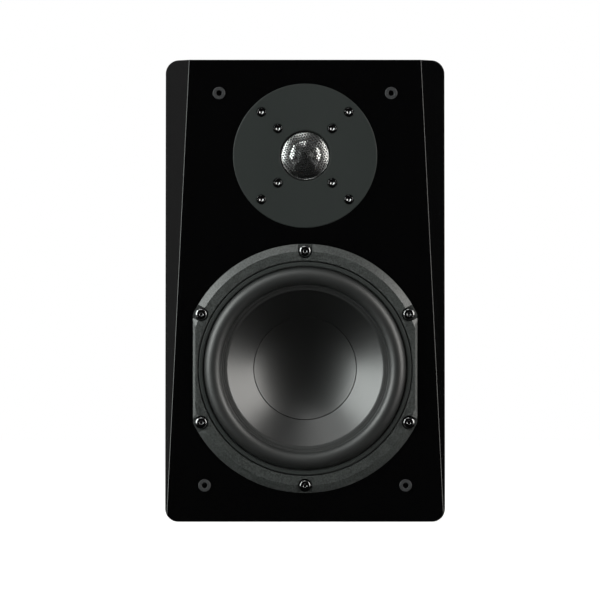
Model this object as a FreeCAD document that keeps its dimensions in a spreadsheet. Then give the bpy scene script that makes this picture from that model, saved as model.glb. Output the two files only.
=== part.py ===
import FreeCAD, Part

# Two-way bookshelf speaker, as a parametric document in millimetres.
# The cabinet stands on the XY plane with +Z up, and its front faces -Y.
# The origin is the middle of the cabinet's underside.
# Every sub-part is an object of its own, sized from the sheet of driving dimensions.

import math
import os
import re

import Sketcher
from FreeCAD import Placement, Rotation, Vector

# ---------------------------------------------------------------- driving dimensions

SIZES = {
    # cabinet
    "cabinet_width": 203.0,
    "cabinet_height": 335.0,
    "cabinet_depth": 210.0,
    "wall_thickness": 15.0,
    "baffle_thickness": 25.0,
    "back_thickness": 15.0,
    "corner_radius": 9.5,
    "facet_top_width": 17.4,
    "facet_foot_width": 0.9,
    "facet_depth_ratio": 2.2,
    "brace_height": 198.0,
    "brace_thickness": 12.0,
    "brace_rail": 24.0,
    "pad_thickness": 16.0,
    # grille sockets
    "socket_top_height": 310.8,
    "socket_top_half_span": 62.4,
    "socket_foot_height": 26.3,
    "socket_foot_half_span": 72.9,
    "socket_rim_radius": 4.5,
    "socket_body_radius": 3.6,
    "socket_bore_radius": 2.0,
    "socket_bore_depth": 10.0,
    # woofer
    "woofer_height": 111.2,
    "woofer_rim_radius": 90.3,
    "woofer_flat_half": 81.3,
    "woofer_recess_depth": 5.0,
    "woofer_recess_gap": 0.4,
    "woofer_cutout_radius": 74.0,
    "woofer_face_height": 3.6,
    "woofer_bevel_width": 5.4,
    "woofer_flat_bevel": 3.0,
    "woofer_rim_edge": 0.6,
    "woofer_screw_side_x": 75.2,
    "woofer_screw_side_y": 39.3,
    "woofer_screw_radius": 85.0,
    "trim_outer_radius": 77.6,
    "trim_inner_radius": 73.8,
    "roll_radius": 6.3,
    "roll_centre_radius": 67.0,
    "rubber_thickness": 0.9,
    "cone_rim_radius": 61.0,
    "cone_edge_radius": 56.5,
    "cap_radius": 37.4,
    "cap_rim_depth": 13.7,
    "cap_centre_depth": 23.0,
    "cap_thickness": 0.7,
    "coil_former_radius": 19.3,
    "spider_rim_radius": 54.5,
    "spider_depth": 38.0,
    "spider_thickness": 0.5,
    "motor_depth": 46.0,
    "magnet_radius": 50.0,
    "magnet_thickness": 17.0,
    "steel_plate_thickness": 6.0,
    # tweeter
    "tweeter_height": 265.4,
    "tweeter_plate_radius": 52.3,
    "tweeter_plate_face": 0.3,
    "tweeter_recess_depth": 4.0,
    "tweeter_gasket_thickness": 0.6,
    "tweeter_mouth_radius": 18.4,
    "tweeter_mount_screw_offset": 31.7,
    "tweeter_motor_screw_offset": 19.7,
    "tweeter_dome_radius": 12.6,
    "tweeter_dome_depth": 1.4,
    "tweeter_dome_base": 6.2,
    "guard_radius": 18.1,
    "guard_height": 3.2,
    "guard_thickness": 0.5,
    "tweeter_magnet_radius": 36.0,
    # port
    "port_height": 250.0,
    "port_radius": 22.25,
    "port_wall": 2.5,
    "port_flare_radius": 14.4,
    "port_flange_radius": 45.0,
    "port_flange_face": 2.2,
    "port_tube_length": 80.0,
    "port_flare_length": 100.0,
    # terminals
    "terminal_height": 88.0,
    "terminal_plate_width": 96.0,
    "terminal_plate_height": 72.0,
    "terminal_plate_face": 4.0,
    "terminal_corner_radius": 10.0,
    "terminal_screw_x": 40.0,
    "terminal_screw_y": 28.0,
    "post_half_span": 16.0,
    "post_shaft_radius": 3.9,
    "post_shaft_end": 23.0,
    "post_banana_radius": 2.0,
    "post_banana_floor": 10.8,
    "post_wire_hole_radius": 1.5,
    "post_wire_hole_height": 8.6,
    "post_insulator_face": 6.5,
    "post_knob_radius": 8.5,
    "post_knob_length": 16.0,
    "post_backoff": 4.0,
    "post_washer_thickness": 1.5,
    # crossover
    "board_width": 120.0,
    "board_depth": 90.0,
    "board_thickness": 1.6,
    "board_lift": 6.0,
    "board_centre_y": 35.0,
    "lead_radius": 1.3,
}

doc = FreeCAD.newDocument("bookshelf_speaker")
sheet = doc.addObject("Spreadsheet::Sheet", "Sizes")
for row, (alias, number) in enumerate(SIZES.items(), start=1):
    sheet.set(f"A{row}", alias)
    sheet.set(f"B{row}", str(number))
    sheet.setAlias(f"B{row}", alias)
doc.recompute()

PIECES = []

# Driver and rear assemblies are drawn with local Z along their own axis.
# Local Z points out of the front of the cabinet, or out of its back, and local Y stays up.
TO_FRONT = Rotation(Vector(1, 0, 0), 90)
TO_BACK = Rotation(Vector(0, 0, 1), 180).multiply(TO_FRONT)
UPRIGHT = Rotation()

# Where each assembly's axis meets the cabinet's face
ORIGIN = ("0", "0", "0")
WOOFER = ("0", "-cabinet_depth/2", "woofer_height")
TWEETER = ("0", "-cabinet_depth/2", "tweeter_height")
PORT = ("0", "cabinet_depth/2", "port_height")
TERMINAL = ("0", "cabinet_depth/2", "terminal_height")


# ---------------------------------------------------------------- formulas and sketches


def named(formula):
    """The formula with each driving dimension replaced by its cell in the sheet."""
    def cell(word):
        return "Sizes." + word.group() if word.group() in SIZES else word.group()

    return re.sub(r"[a-z][a-z_]*[a-z]", cell, formula)


def size(formula):
    """What a formula of driving dimensions comes to, in millimetres."""
    return float(sheet.evalExpression(named(formula)))


def place(piece, where, turn=UPRIGHT):
    """Puts a piece at a point given by three formulas, and keeps it bound to them."""
    piece.Placement = Placement(Vector(*[size(f) for f in where]), turn)
    for axis, formula in zip("xyz", where):
        if formula != "0":
            piece.setExpression(f"Placement.Base.{axis}", named(formula))


def new_body(label, keep=True):
    body = doc.addObject("PartDesign::Body", label)
    body.Label = label
    if keep:
        PIECES.append(body)
    return body


def origin_feature(body, role):
    return next(f for f in body.Origin.OriginFeatures if f.Role == role)


def new_sketch(body, name, role, lift="0"):
    """A sketch on one of the body's own origin planes, lifted along the plane's normal."""
    sketch = body.newObject("Sketcher::SketchObject", name)
    sketch.AttachmentSupport = (origin_feature(body, role), [""])
    sketch.MapMode = "FlatFace"
    if lift != "0":
        sketch.setExpression("AttachmentOffset.Base.z", named(lift))
    return sketch


def bind_point(sketch, edge, end, across, up):
    """Fixes one end of an edge, or a circle's centre, at a place given by two formulas."""
    for kind, axis_line, formula in (("DistanceX", -2, across), ("DistanceY", -1, up)):
        if formula == "0":
            sketch.addConstraint(Sketcher.Constraint("PointOnObject", edge, end, axis_line))
            continue
        rule = Sketcher.Constraint(kind, -1, 1, edge, end, size(formula))
        index = sketch.addConstraint(rule)
        sketch.setExpression(f"Constraints[{index}]", named(formula))


def arc_centre(start, end, radius, side):
    """Centre of the arc from start to end, on the left or the right of the way along it."""
    chord = end - start
    rise = math.sqrt(max(radius * radius - chord.Length * chord.Length / 4, 0.0))
    normal = Vector(-chord.y, chord.x, 0).normalize()
    return (start + end) / 2 + normal * (rise if side == "left" else -rise)


def add_outline(sketch, corners):
    """Draws a closed outline. A corner is (across, up), or (across, up, side, radius) where
    the edge that arrives at it is an arc with its centre on that side."""
    points = [Vector(size(c[0]), size(c[1]), 0) for c in corners]
    first = sketch.GeometryCount
    ends = []
    for i, corner in enumerate(corners):
        start, end = points[i - 1], points[i]
        if len(corner) == 2:
            sketch.addGeometry(Part.LineSegment(start, end), False)
            ends.append((1, 2))
            continue
        side, radius = corner[2], size(corner[3])
        centre = arc_centre(start, end, radius, side)
        low, high = (start, end) if side == "left" else (end, start)
        angles = [math.atan2(p.y - centre.y, p.x - centre.x) for p in (low, high)]
        circle = Part.Circle(centre, Vector(0, 0, 1), radius)
        sketch.addGeometry(Part.ArcOfCircle(circle, *angles), False)
        ends.append((1, 2) if side == "left" else (2, 1))
    for i, corner in enumerate(corners):
        following = (i + 1) % len(corners)
        meet = Sketcher.Constraint(
            "Coincident", first + i, ends[i][1], first + following, ends[following][0]
        )
        sketch.addConstraint(meet)
        bind_point(sketch, first + i, ends[i][1], corner[0], corner[1])
        if len(corner) == 4:
            index = sketch.addConstraint(
                Sketcher.Constraint("Radius", first + i, size(corner[3]))
            )
            sketch.setExpression(f"Constraints[{index}]", named(corner[3]))


def add_circle(sketch, across, up, radius):
    centre = Vector(size(across), size(up), 0)
    edge = sketch.addGeometry(Part.Circle(centre, Vector(0, 0, 1), size(radius)), False)
    bind_point(sketch, edge, 3, across, up)
    index = sketch.addConstraint(Sketcher.Constraint("Radius", edge, size(radius)))
    sketch.setExpression(f"Constraints[{index}]", named(radius))


def rounded_box(left, right, low, high, radius):
    """Corners of a rectangle with rounded corners, anticlockwise."""
    return [
        (f"{left} + {radius}", low, "left", radius),
        (f"{right} - {radius}", low),
        (right, f"{low} + {radius}", "left", radius),
        (right, f"{high} - {radius}"),
        (f"{right} - {radius}", high, "left", radius),
        (f"{left} + {radius}", high),
        (left, f"{high} - {radius}", "left", radius),
        (left, f"{low} + {radius}"),
    ]


# ---------------------------------------------------------------- features


def turned(label, corners, where, turn, keep=True):
    """A body of revolution about local Z: corners are (radius, height)."""
    body = new_body(label, keep)
    profile = new_sketch(body, label + "_profile", "XZ_Plane")
    add_outline(profile, corners)
    feature = body.newObject("PartDesign::Revolution", label + "_turning")
    feature.Profile = profile
    feature.ReferenceAxis = (profile, ["V_Axis"])
    feature.Angle = 360
    place(body, where, turn)
    return body


def padded(label, role, lift, length, outlines, circles=(), keep=True):
    """A body padded along its plane's normal from one or more outlines."""
    body = new_body(label, keep)
    profile = new_sketch(body, label + "_profile", role, lift)
    for corners in outlines:
        add_outline(profile, corners)
    for circle in circles:
        add_circle(profile, *circle)
    feature = body.newObject("PartDesign::Pad", label + "_pad")
    feature.Profile = profile
    feature.setExpression("Length", named(length))
    return body


def pocketed(body, name, role, lift, depth=None, outlines=(), circles=()):
    """Cuts outlines and circles out of a body, against the plane's normal, or right through."""
    before = solid_volume(body)
    profile = new_sketch(body, name + "_outline", role, lift)
    for corners in outlines:
        add_outline(profile, corners)
    for circle in circles:
        add_circle(profile, *circle)
    feature = body.newObject("PartDesign::Pocket", name)
    feature.Profile = profile
    if depth is None:
        feature.Type = "ThroughAll"
        feature.Midplane = True
    else:
        feature.setExpression("Length", named(depth))
    if solid_volume(body) >= before:
        raise RuntimeError(f"{name} cuts nothing")
    return feature


def solid_volume(body):
    doc.recompute()
    return body.Shape.Volume


def around(body, feature, count):
    """Repeats a feature round the body's own Z axis."""
    pattern = body.newObject("PartDesign::PolarPattern", feature.Name + "_ring")
    pattern.Originals = [feature]
    pattern.Axis = (origin_feature(body, "Z_Axis"), [""])
    pattern.Angle = 360
    pattern.Occurrences = count
    body.Tip = pattern


def box(label, length, width, height, where, keep=True):
    solid = doc.addObject("Part::Box", label)
    solid.Label = label
    for side, formula in (("Length", length), ("Width", width), ("Height", height)):
        solid.setExpression(side, named(formula))
    place(solid, where)
    if keep:
        PIECES.append(solid)
    return solid


def cylinder(label, radius, height, where, turn=UPRIGHT):
    solid = doc.addObject("Part::Cylinder", label)
    solid.Label = label
    solid.setExpression("Radius", named(radius))
    solid.setExpression("Height", named(height))
    place(solid, where, turn)
    return solid


def together(label, members):
    """One node that holds several separate solids."""
    joined = doc.addObject("Part::Compound", label)
    joined.Label = label
    joined.Links = members
    PIECES.append(joined)
    return joined


def copies(label, pattern, points, turn):
    """One node with a copy of a pattern piece at each point, given by three formulas."""
    members = []
    for number, point in enumerate(points, start=1):
        member = doc.addObject("App::Link", f"{label}_{number}")
        member.LinkedObject = pattern
        place(member, point, turn)
        members.append(member)
    return together(label, members)


def on_face(assembly, across, up, out="0"):
    """A point given in an assembly's local frame on the front face, as three formulas."""
    x, y, z = assembly
    return (f"{x} + {across}", f"{y} - ({out})", f"{z} + {up}")


def on_back(assembly, across, up, out="0"):
    """The same on the back face, where local X runs the other way."""
    x, y, z = assembly
    return (f"{x} - ({across})", f"{y} + {out}", f"{z} + {up}")


# ---------------------------------------------------------------- cabinet

INNER = "(cabinet_width/2 - wall_thickness)"
MITRE = "corner_radius*(1 - sqrt(2)/2)"
BODY_LIFT = "-cabinet_depth/2"
BODY_LENGTH = "cabinet_depth - baffle_thickness"


def facet(body, side):
    """Cuts the tall triangular facet off one front edge: wide at the top, fading to the foot."""
    sections = []
    for end, lift, width in (
        ("foot", "0", "facet_foot_width"),
        ("top", "cabinet_height", "facet_top_width"),
    ):
        sketch = new_sketch(body, f"{body.Label}_facet_{end}_{side}", "XY_Plane", lift)
        sign = "-" if side == "left" else ""
        edge = f"{sign}(cabinet_width/2"
        front = "-cabinet_depth/2"
        depth = f"{width}*facet_depth_ratio"
        outer = f"{edge} + {width}/2)"
        add_outline(
            sketch,
            [
                (f"{edge} - {width}*1.5)", f"{front} - {depth}/2"),
                (outer, f"{front} + {depth}*1.5"),
                (outer, f"{front} - {depth}/2"),
            ],
        )
        sections.append(sketch)
    before = solid_volume(body)
    cut = body.newObject("PartDesign::SubtractiveLoft", f"{body.Label}_facet_{side}")
    cut.Profile = sections[0]
    cut.Sections = sections[1:]
    cut.Ruled = True
    if solid_volume(body) >= before:
        raise RuntimeError(f"the {side} facet of {body.Label} cuts nothing")


def cabinet_side(label, sign, side):
    """A side panel, mitred at both ends and rounded with half of each corner."""
    turn = "right" if sign == "-" else "left"
    outer = f"{sign}(cabinet_width/2)"
    half_corner = f"{sign}(cabinet_width/2 - {MITRE})"
    body = padded(
        label,
        "XZ_Plane",
        BODY_LIFT,
        BODY_LENGTH,
        [
            [
                (f"{sign}{INNER}", "wall_thickness"),
                (half_corner, MITRE),
                (outer, "corner_radius", turn, "corner_radius"),
                (outer, "cabinet_height - corner_radius"),
                (half_corner, f"cabinet_height - {MITRE}", turn, "corner_radius"),
                (f"{sign}{INNER}", "cabinet_height - wall_thickness"),
            ]
        ],
    )
    facet(body, side)


def cabinet_cap(label, level, inwards, turn):
    """The top or the bottom panel: level is its outer face, inwards the sign that leads in."""
    edge = "(cabinet_width/2 - corner_radius)"
    half_corner = f"(cabinet_width/2 - {MITRE})"
    return padded(
        label,
        "XZ_Plane",
        BODY_LIFT,
        BODY_LENGTH,
        [
            [
                (f"-{INNER}", f"{level} {inwards} wall_thickness"),
                (f"-{half_corner}", f"{level} {inwards} {MITRE}"),
                (f"-{edge}", level, turn, "corner_radius"),
                (edge, level),
                (half_corner, f"{level} {inwards} {MITRE}", turn, "corner_radius"),
                (INNER, f"{level} {inwards} wall_thickness"),
            ]
        ],
    )


cabinet_side("cabinet_side_left", "-", "left")
cabinet_side("cabinet_side_right", "", "right")
top_panel = cabinet_cap("cabinet_top", "cabinet_height", "-", "right")
facet(top_panel, "left")
facet(top_panel, "right")
cabinet_cap("cabinet_bottom", "0", "+", "left")

# Front baffle: driver recesses and cut-outs, grille socket holes and screw pilot holes
WOOFER_SCREWS = [
    ("0", "woofer_screw_radius"),
    ("woofer_screw_side_x", "woofer_screw_side_y"),
    ("woofer_screw_side_x", "-woofer_screw_side_y"),
    ("0", "-woofer_screw_radius"),
    ("-woofer_screw_side_x", "-woofer_screw_side_y"),
    ("-woofer_screw_side_x", "woofer_screw_side_y"),
]
QUARTERS = [("", ""), ("-", ""), ("-", "-"), ("", "-")]
TWEETER_SCREWS = [
    (f"{a}tweeter_mount_screw_offset", f"{b}tweeter_mount_screw_offset") for a, b in QUARTERS
]
MOTOR_SCREWS = [
    (f"{a}tweeter_motor_screw_offset", f"{b}tweeter_motor_screw_offset") for a, b in QUARTERS
]
SOCKETS = [
    ("-socket_top_half_span", "socket_top_height"),
    ("socket_top_half_span", "socket_top_height"),
    ("-socket_foot_half_span", "socket_foot_height"),
    ("socket_foot_half_span", "socket_foot_height"),
]
PILOT_CLEARANCE = "0.05"
WOOFER_PILOT_DEPTH = "18"
TWEETER_PILOT_DEPTH = "20"
WOOFER_SHANK = "2.4"
TWEETER_SHANK = "1.9"
TERMINAL_SHANK = "1.7"


def hexagon(across_flats):
    point, flat = f"({across_flats}/sqrt(3))", f"({across_flats}/2)"
    return [
        (point, "0"),
        (f"{point}/2", flat),
        (f"-{point}/2", flat),
        (f"-{point}", "0"),
        (f"-{point}/2", f"-{flat}"),
        (f"{point}/2", f"-{flat}"),
    ]


def flatted_circle(radius, flat, height="0"):
    """A circle cut straight on its left and right, as the woofer's rim is."""
    rise = f"sqrt(({radius})^2 - ({flat})^2)"
    return [
        (flat, f"{height} - {rise}", "left", radius),
        (flat, f"{height} + {rise}"),
        (f"-({flat})", f"{height} + {rise}", "left", radius),
        (f"-({flat})", f"{height} - {rise}"),
    ]


def front_baffle():
    front = "cabinet_depth/2"
    half = "(cabinet_width/2)"
    outline = rounded_box(f"-{half}", half, "0", "cabinet_height", "corner_radius")
    body = padded(
        "front_baffle", "XZ_Plane", f"{front} - baffle_thickness", "baffle_thickness", [outline]
    )
    pocketed(
        body,
        "woofer_recess",
        "XZ_Plane",
        front,
        "woofer_recess_depth",
        [
            flatted_circle(
                "woofer_rim_radius + woofer_recess_gap",
                "woofer_flat_half + woofer_recess_gap",
                "woofer_height",
            )
        ],
    )
    pocketed(
        body,
        "tweeter_recess",
        "XZ_Plane",
        front,
        "tweeter_recess_depth",
        circles=[("0", "tweeter_height", "tweeter_plate_radius + 0.3")],
    )
    through = [("0", "woofer_height", "woofer_cutout_radius")]
    through += [("0", "tweeter_height", "tweeter_magnet_radius + 4")]
    pocketed(body, "driver_cutouts", "XZ_Plane", front, None, circles=through)
    holes = [(x, z, f"socket_body_radius + {PILOT_CLEARANCE}") for x, z in SOCKETS]
    pocketed(body, "socket_holes", "XZ_Plane", front, "socket_bore_depth + 2.5", circles=holes)
    holes = [
        (x, f"woofer_height + ({y})", f"{WOOFER_SHANK} + {PILOT_CLEARANCE}")
        for x, y in WOOFER_SCREWS
    ]
    depth = f"woofer_recess_depth + {WOOFER_PILOT_DEPTH}"
    pocketed(body, "woofer_pilots", "XZ_Plane", front, depth, circles=holes)
    holes = [
        (x, f"tweeter_height + ({y})", f"{TWEETER_SHANK} + {PILOT_CLEARANCE}")
        for x, y in TWEETER_SCREWS
    ]
    pocketed(body, "tweeter_pilots", "XZ_Plane", front, TWEETER_PILOT_DEPTH, circles=holes)
    facet(body, "left")
    facet(body, "right")


def back_panel():
    back = "-cabinet_depth/2"
    body = padded(
        "back_panel",
        "XZ_Plane",
        back,
        "back_thickness",
        [
            [
                (f"-{INNER}", "wall_thickness"),
                (INNER, "wall_thickness"),
                (INNER, "cabinet_height - wall_thickness"),
                (f"-{INNER}", "cabinet_height - wall_thickness"),
            ]
        ],
    )
    window = rounded_box(
        "-terminal_plate_width/2 + 13",
        "terminal_plate_width/2 - 13",
        "terminal_height - terminal_plate_height/2 + 14",
        "terminal_height + terminal_plate_height/2 - 14",
        "6",
    )
    holes = [("0", "port_height", "port_radius + port_flare_radius + 1.85")]
    holes += [
        (f"{a}terminal_screw_x", f"terminal_height + ({b}terminal_screw_y)", "1.75")
        for a, b in QUARTERS
    ]
    pocketed(body, "back_cutouts", "XZ_Plane", back, None, [window], holes)


def window_brace():
    front = "-cabinet_depth/2 + baffle_thickness"
    back = "cabinet_depth/2 - back_thickness"
    outline = [(f"-{INNER}", front), (INNER, front), (INNER, back), (f"-{INNER}", back)]
    body = padded("window_brace", "XY_Plane", "brace_height", "brace_thickness", [outline])
    openings = []
    for left, right in ((f"-{INNER} + brace_rail", "-8"), ("8", f"{INNER} - brace_rail")):
        openings.append(
            rounded_box(left, right, f"{front} + brace_rail", f"{back} - brace_rail", "12")
        )
    lift = "brace_height + brace_thickness"
    pocketed(body, "brace_windows", "XY_Plane", lift, None, openings)


front_baffle()
back_panel()
window_brace()

# Damping pads: a pad on each side wall and one under the top panel
PAD_FRONT = "-cabinet_depth/2 + 52"
PAD_LENGTH = "cabinet_depth - 52 - back_thickness - 4"
for pad_name, pad_left in (
    ("damping_pad_left", f"-{INNER}"),
    ("damping_pad_right", f"{INNER} - pad_thickness"),
):
    corner = (pad_left, PAD_FRONT, "wall_thickness + 18")
    box(pad_name, "pad_thickness", PAD_LENGTH, "brace_height - wall_thickness - 24", corner)
top_pad_corner = ("-70", PAD_FRONT, "cabinet_height - wall_thickness - pad_thickness")
box("damping_pad_top", "140", PAD_LENGTH, "pad_thickness", top_pad_corner)

# Grille sockets: a moulded cup with a rim, pressed into each corner of the baffle
socket = turned(
    "grille_socket",
    [
        ("0", "-socket_bore_depth - 2"),
        ("socket_body_radius", "-socket_bore_depth - 2"),
        ("socket_body_radius", "0"),
        ("socket_rim_radius", "0"),
        ("socket_rim_radius", "0.5"),
        ("socket_rim_radius - 0.6", "0.9"),
        ("socket_bore_radius + 0.4", "0.9"),
        ("socket_bore_radius", "0.5"),
        ("socket_bore_radius", "-socket_bore_depth"),
        ("0", "-socket_bore_depth"),
    ],
    ORIGIN,
    UPRIGHT,
    keep=False,
)
copies(
    "grille_sockets", socket, [(x, "-cabinet_depth/2", z) for x, z in SOCKETS], TO_FRONT
)


# ---------------------------------------------------------------- screws


def button_screw(label, head_radius, head_height, shank_radius, length, key):
    """A button-head screw with a hexagon socket. Its seat is at local Z 0."""
    body = turned(
        label,
        [
            ("0", f"-{length}"),
            (f"{shank_radius}*0.4", f"-{length}"),
            (shank_radius, f"-{length} + {shank_radius}*1.5"),
            (shank_radius, "0"),
            (head_radius, "0"),
            (head_radius, f"{head_height}*0.25"),
            (f"{head_radius}*0.5", head_height, "left", f"{head_radius}*0.85"),
            ("0", head_height),
        ],
        ORIGIN,
        UPRIGHT,
        keep=False,
    )
    key_hole = [hexagon(key)]
    pocketed(body, label + "_socket", "XY_Plane", head_height, f"{head_height}*0.6", key_hole)
    return body


# ---------------------------------------------------------------- woofer: moving parts

RIM_Z = "0.4"
ROLL_Z = "(0.5 + rubber_thickness)"
ROLL_IN = "(roll_radius - rubber_thickness)"
CAP_DISH = "(cap_centre_depth - cap_rim_depth)"
CAP_CURVE = f"((cap_radius^2 + {CAP_DISH}^2)/(2*{CAP_DISH}))"
CAP_BACK_CURVE = f"({CAP_CURVE} + cap_thickness)"
CAP_CURVE_CENTRE = f"({CAP_CURVE} - cap_centre_depth)"
CAP_SEAT = f"({CAP_CURVE_CENTRE} - sqrt({CAP_BACK_CURVE}^2 - cap_radius^2))"

turned(
    "woofer_cone",
    [
        ("cone_rim_radius", "0.15"),
        ("cone_edge_radius", "-0.6"),
        ("cap_radius + 0.15", "-cap_rim_depth"),
        ("cap_radius + 0.15", CAP_SEAT),
        ("coil_former_radius", "-25.6"),
        ("coil_former_radius", "-26.8"),
        ("cap_radius", f"{CAP_SEAT} - 1.2"),
        ("cone_edge_radius", "-1.9"),
        ("cone_rim_radius", "-0.9"),
    ],
    WOOFER,
    TO_FRONT,
)
turned(
    "woofer_dust_cap",
    [
        ("0", "-cap_centre_depth - cap_thickness"),
        ("cap_radius", CAP_SEAT, "left", CAP_BACK_CURVE),
        ("cap_radius", "-cap_rim_depth"),
        ("0", "-cap_centre_depth", "right", CAP_CURVE),
    ],
    WOOFER,
    TO_FRONT,
)
turned(
    "woofer_coil_former",
    [
        ("coil_former_radius - 0.3", "-58"),
        ("coil_former_radius", "-58"),
        ("coil_former_radius", "-22.6"),
        ("coil_former_radius - 0.3", "-22.6"),
    ],
    WOOFER,
    TO_FRONT,
)
turned(
    "woofer_voice_coil",
    [
        ("coil_former_radius", "-56"),
        ("coil_former_radius + 0.9", "-56"),
        ("coil_former_radius + 0.9", "-42"),
        ("coil_former_radius", "-42"),
    ],
    WOOFER,
    TO_FRONT,
)

# The half-roll surround: a flange under the trim ring, the roll, and a land on the cone's rim
turned(
    "woofer_surround",
    [
        ("trim_outer_radius", RIM_Z),
        ("trim_outer_radius", ROLL_Z),
        ("roll_centre_radius + roll_radius", ROLL_Z),
        ("roll_centre_radius", f"{ROLL_Z} + roll_radius", "left", "roll_radius"),
        ("roll_centre_radius - roll_radius", ROLL_Z, "left", "roll_radius"),
        ("cone_edge_radius + 0.3", f"{ROLL_Z} - 0.9"),
        ("cone_edge_radius + 0.3", f"{ROLL_Z} - 0.9 - rubber_thickness"),
        (f"roll_centre_radius - {ROLL_IN}", RIM_Z),
        (f"roll_centre_radius - {ROLL_IN}", ROLL_Z),
        ("roll_centre_radius", f"{ROLL_Z} + {ROLL_IN}", "right", ROLL_IN),
        (f"roll_centre_radius + {ROLL_IN}", ROLL_Z, "right", ROLL_IN),
        (f"roll_centre_radius + {ROLL_IN}", RIM_Z),
    ],
    WOOFER,
    TO_FRONT,
)


def woofer_spider():
    """The corrugated cloth disc that centres the coil: eight half-waves between two flats."""
    waves = 8
    start, end = "(coil_former_radius + 5)", "(spider_rim_radius - 4.5)"
    level = "-spider_depth"
    upper = f"{level} + spider_thickness"
    step = f"({end} - {start})/{waves}"
    bend = f"{step}*0.62"
    radii = [f"{start} + {step}*{k}" for k in range(waves + 1)]
    corners = [("coil_former_radius + 0.15", level), (radii[0], level)]
    for k in range(1, waves + 1):
        corners.append((radii[k], level, "left" if k % 2 else "right", bend))
    corners += [
        ("spider_rim_radius", level),
        ("spider_rim_radius", upper),
        (radii[waves], upper),
    ]
    for k in range(waves - 1, -1, -1):
        corners.append((radii[k], upper, "left" if k % 2 else "right", bend))
    corners.append(("coil_former_radius + 0.15", upper))
    turned("woofer_spider", corners, WOOFER, TO_FRONT)


woofer_spider()


# ---------------------------------------------------------------- woofer: frame and motor


def woofer_basket():
    """The cast frame: bevelled rim, surround ledge, six legs, spider ledge and motor ring."""
    flange_back = "-woofer_recess_depth + 1"
    can = "woofer_cutout_radius - 0.4"
    body = turned(
        "woofer_basket",
        [
            ("woofer_rim_radius", flange_back),
            ("woofer_rim_radius", "woofer_rim_edge"),
            ("woofer_rim_radius - woofer_bevel_width", "woofer_face_height"),
            ("trim_outer_radius + 0.4", "woofer_face_height"),
            ("trim_outer_radius + 0.4", RIM_Z),
            ("roll_centre_radius + roll_radius - 0.9", RIM_Z),
            ("71.2", "-10"),
            ("spider_rim_radius + 0.5", "-spider_depth + 3"),
            ("spider_rim_radius + 0.5", "-spider_depth"),
            ("spider_rim_radius - 5", "-spider_depth"),
            ("spider_rim_radius - 5", "-motor_depth + 3"),
            ("36", "-motor_depth + 3"),
            ("36", "-motor_depth"),
            ("spider_rim_radius + 4", "-motor_depth"),
            ("spider_rim_radius + 4", "-motor_depth + 9.5"),
            (can, "-12.5"),
            (can, flange_back),
        ],
        WOOFER,
        TO_FRONT,
    )
    for side in ("", "-"):
        edge, back = f"{side}woofer_flat_half", f"{flange_back} - 1"
        inner = f"{side}(woofer_flat_half - woofer_flat_bevel - 1)"
        pocketed(
            body,
            "woofer_flat_" + ("right" if side == "" else "left"),
            "XZ_Plane",
            "0",
            None,
            [
                [
                    (edge, back),
                    (edge, "woofer_rim_edge"),
                    (inner, "woofer_face_height + 1"),
                    (f"{side}100", "woofer_face_height + 1"),
                    (f"{side}100", back),
                ]
            ],
        )
    for i, (x, y) in enumerate(WOOFER_SCREWS):
        pocketed(
            body,
            f"woofer_screw_seat_{i + 1}",
            "XY_Plane",
            "woofer_face_height + 1",
            "woofer_face_height + 1 - woofer_rim_edge",
            [screw_slot(x, y)],
        )
    holes = [(x, y, f"{WOOFER_SHANK} + 0.2") for x, y in WOOFER_SCREWS]
    pocketed(body, "woofer_screw_holes", "XY_Plane", "woofer_face_height", "9", circles=holes)
    window = [("-31", "-86"), ("31", "-86"), ("19", "-52"), ("-19", "-52")]
    depth = "spider_depth - 4 - 13.5"
    cut = pocketed(body, "basket_window", "XY_Plane", "-13.5", depth, [window])
    around(body, cut, 6)


def screw_slot(x, y, half="5.2"):
    """The seat cut into the rim at a screw: round inside, open outwards along the radius."""
    reach = math.hypot(size(x), size(y))
    out = Vector(size(x) / reach, size(y) / reach, 0)
    across = Vector(-out.y, out.x, 0)
    rows = []
    for along, sideways in ((12.0, -1), (12.0, 1), (0.0, 1), (0.0, -1)):
        grow = f"{along*out.x:.6f}", f"{along*out.y:.6f}"
        shift = f"{half}*{sideways*across.x:.6f}", f"{half}*{sideways*across.y:.6f}"
        rows.append([f"{x} + {grow[0]} + {shift[0]}", f"{y} + {grow[1]} + {shift[1]}"])
    inner = (f"{x} - {half}*{out.x:.6f}", f"{y} - {half}*{out.y:.6f}", "left", half)
    return [tuple(rows[0]), tuple(rows[1]), tuple(rows[2]), inner, (*rows[3], "left", half)]


woofer_basket()
turned(
    "woofer_trim_ring",
    [
        ("trim_inner_radius", ROLL_Z),
        ("trim_outer_radius", ROLL_Z),
        ("trim_outer_radius", "woofer_face_height - 0.8"),
        ("trim_outer_radius - 0.4", "woofer_face_height - 0.4"),
        ("trim_inner_radius + 0.6", "woofer_face_height - 0.4"),
        ("trim_inner_radius", "woofer_face_height - 1.0"),
    ],
    WOOFER,
    TO_FRONT,
)
woofer_gasket = padded(
    "woofer_gasket",
    "XY_Plane",
    "-woofer_recess_depth",
    "1",
    [flatted_circle("woofer_rim_radius - 0.5", "woofer_flat_half - 0.5")],
    [("0", "0", "woofer_cutout_radius + 0.2")],
)
pocketed(
    woofer_gasket,
    "woofer_gasket_holes",
    "XY_Plane",
    "-woofer_recess_depth + 2",
    None,
    circles=[(x, y, f"{WOOFER_SHANK} + 0.3") for x, y in WOOFER_SCREWS],
)
place(woofer_gasket, WOOFER, TO_FRONT)

MOTOR_TOP = "-motor_depth"
MAGNET_TOP = "(-motor_depth - steel_plate_thickness)"
MAGNET_BACK = f"({MAGNET_TOP} - magnet_thickness)"
GAP_OUTER = "(coil_former_radius + 1.6)"
POLE_RADIUS = "(coil_former_radius - 0.8)"


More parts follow.
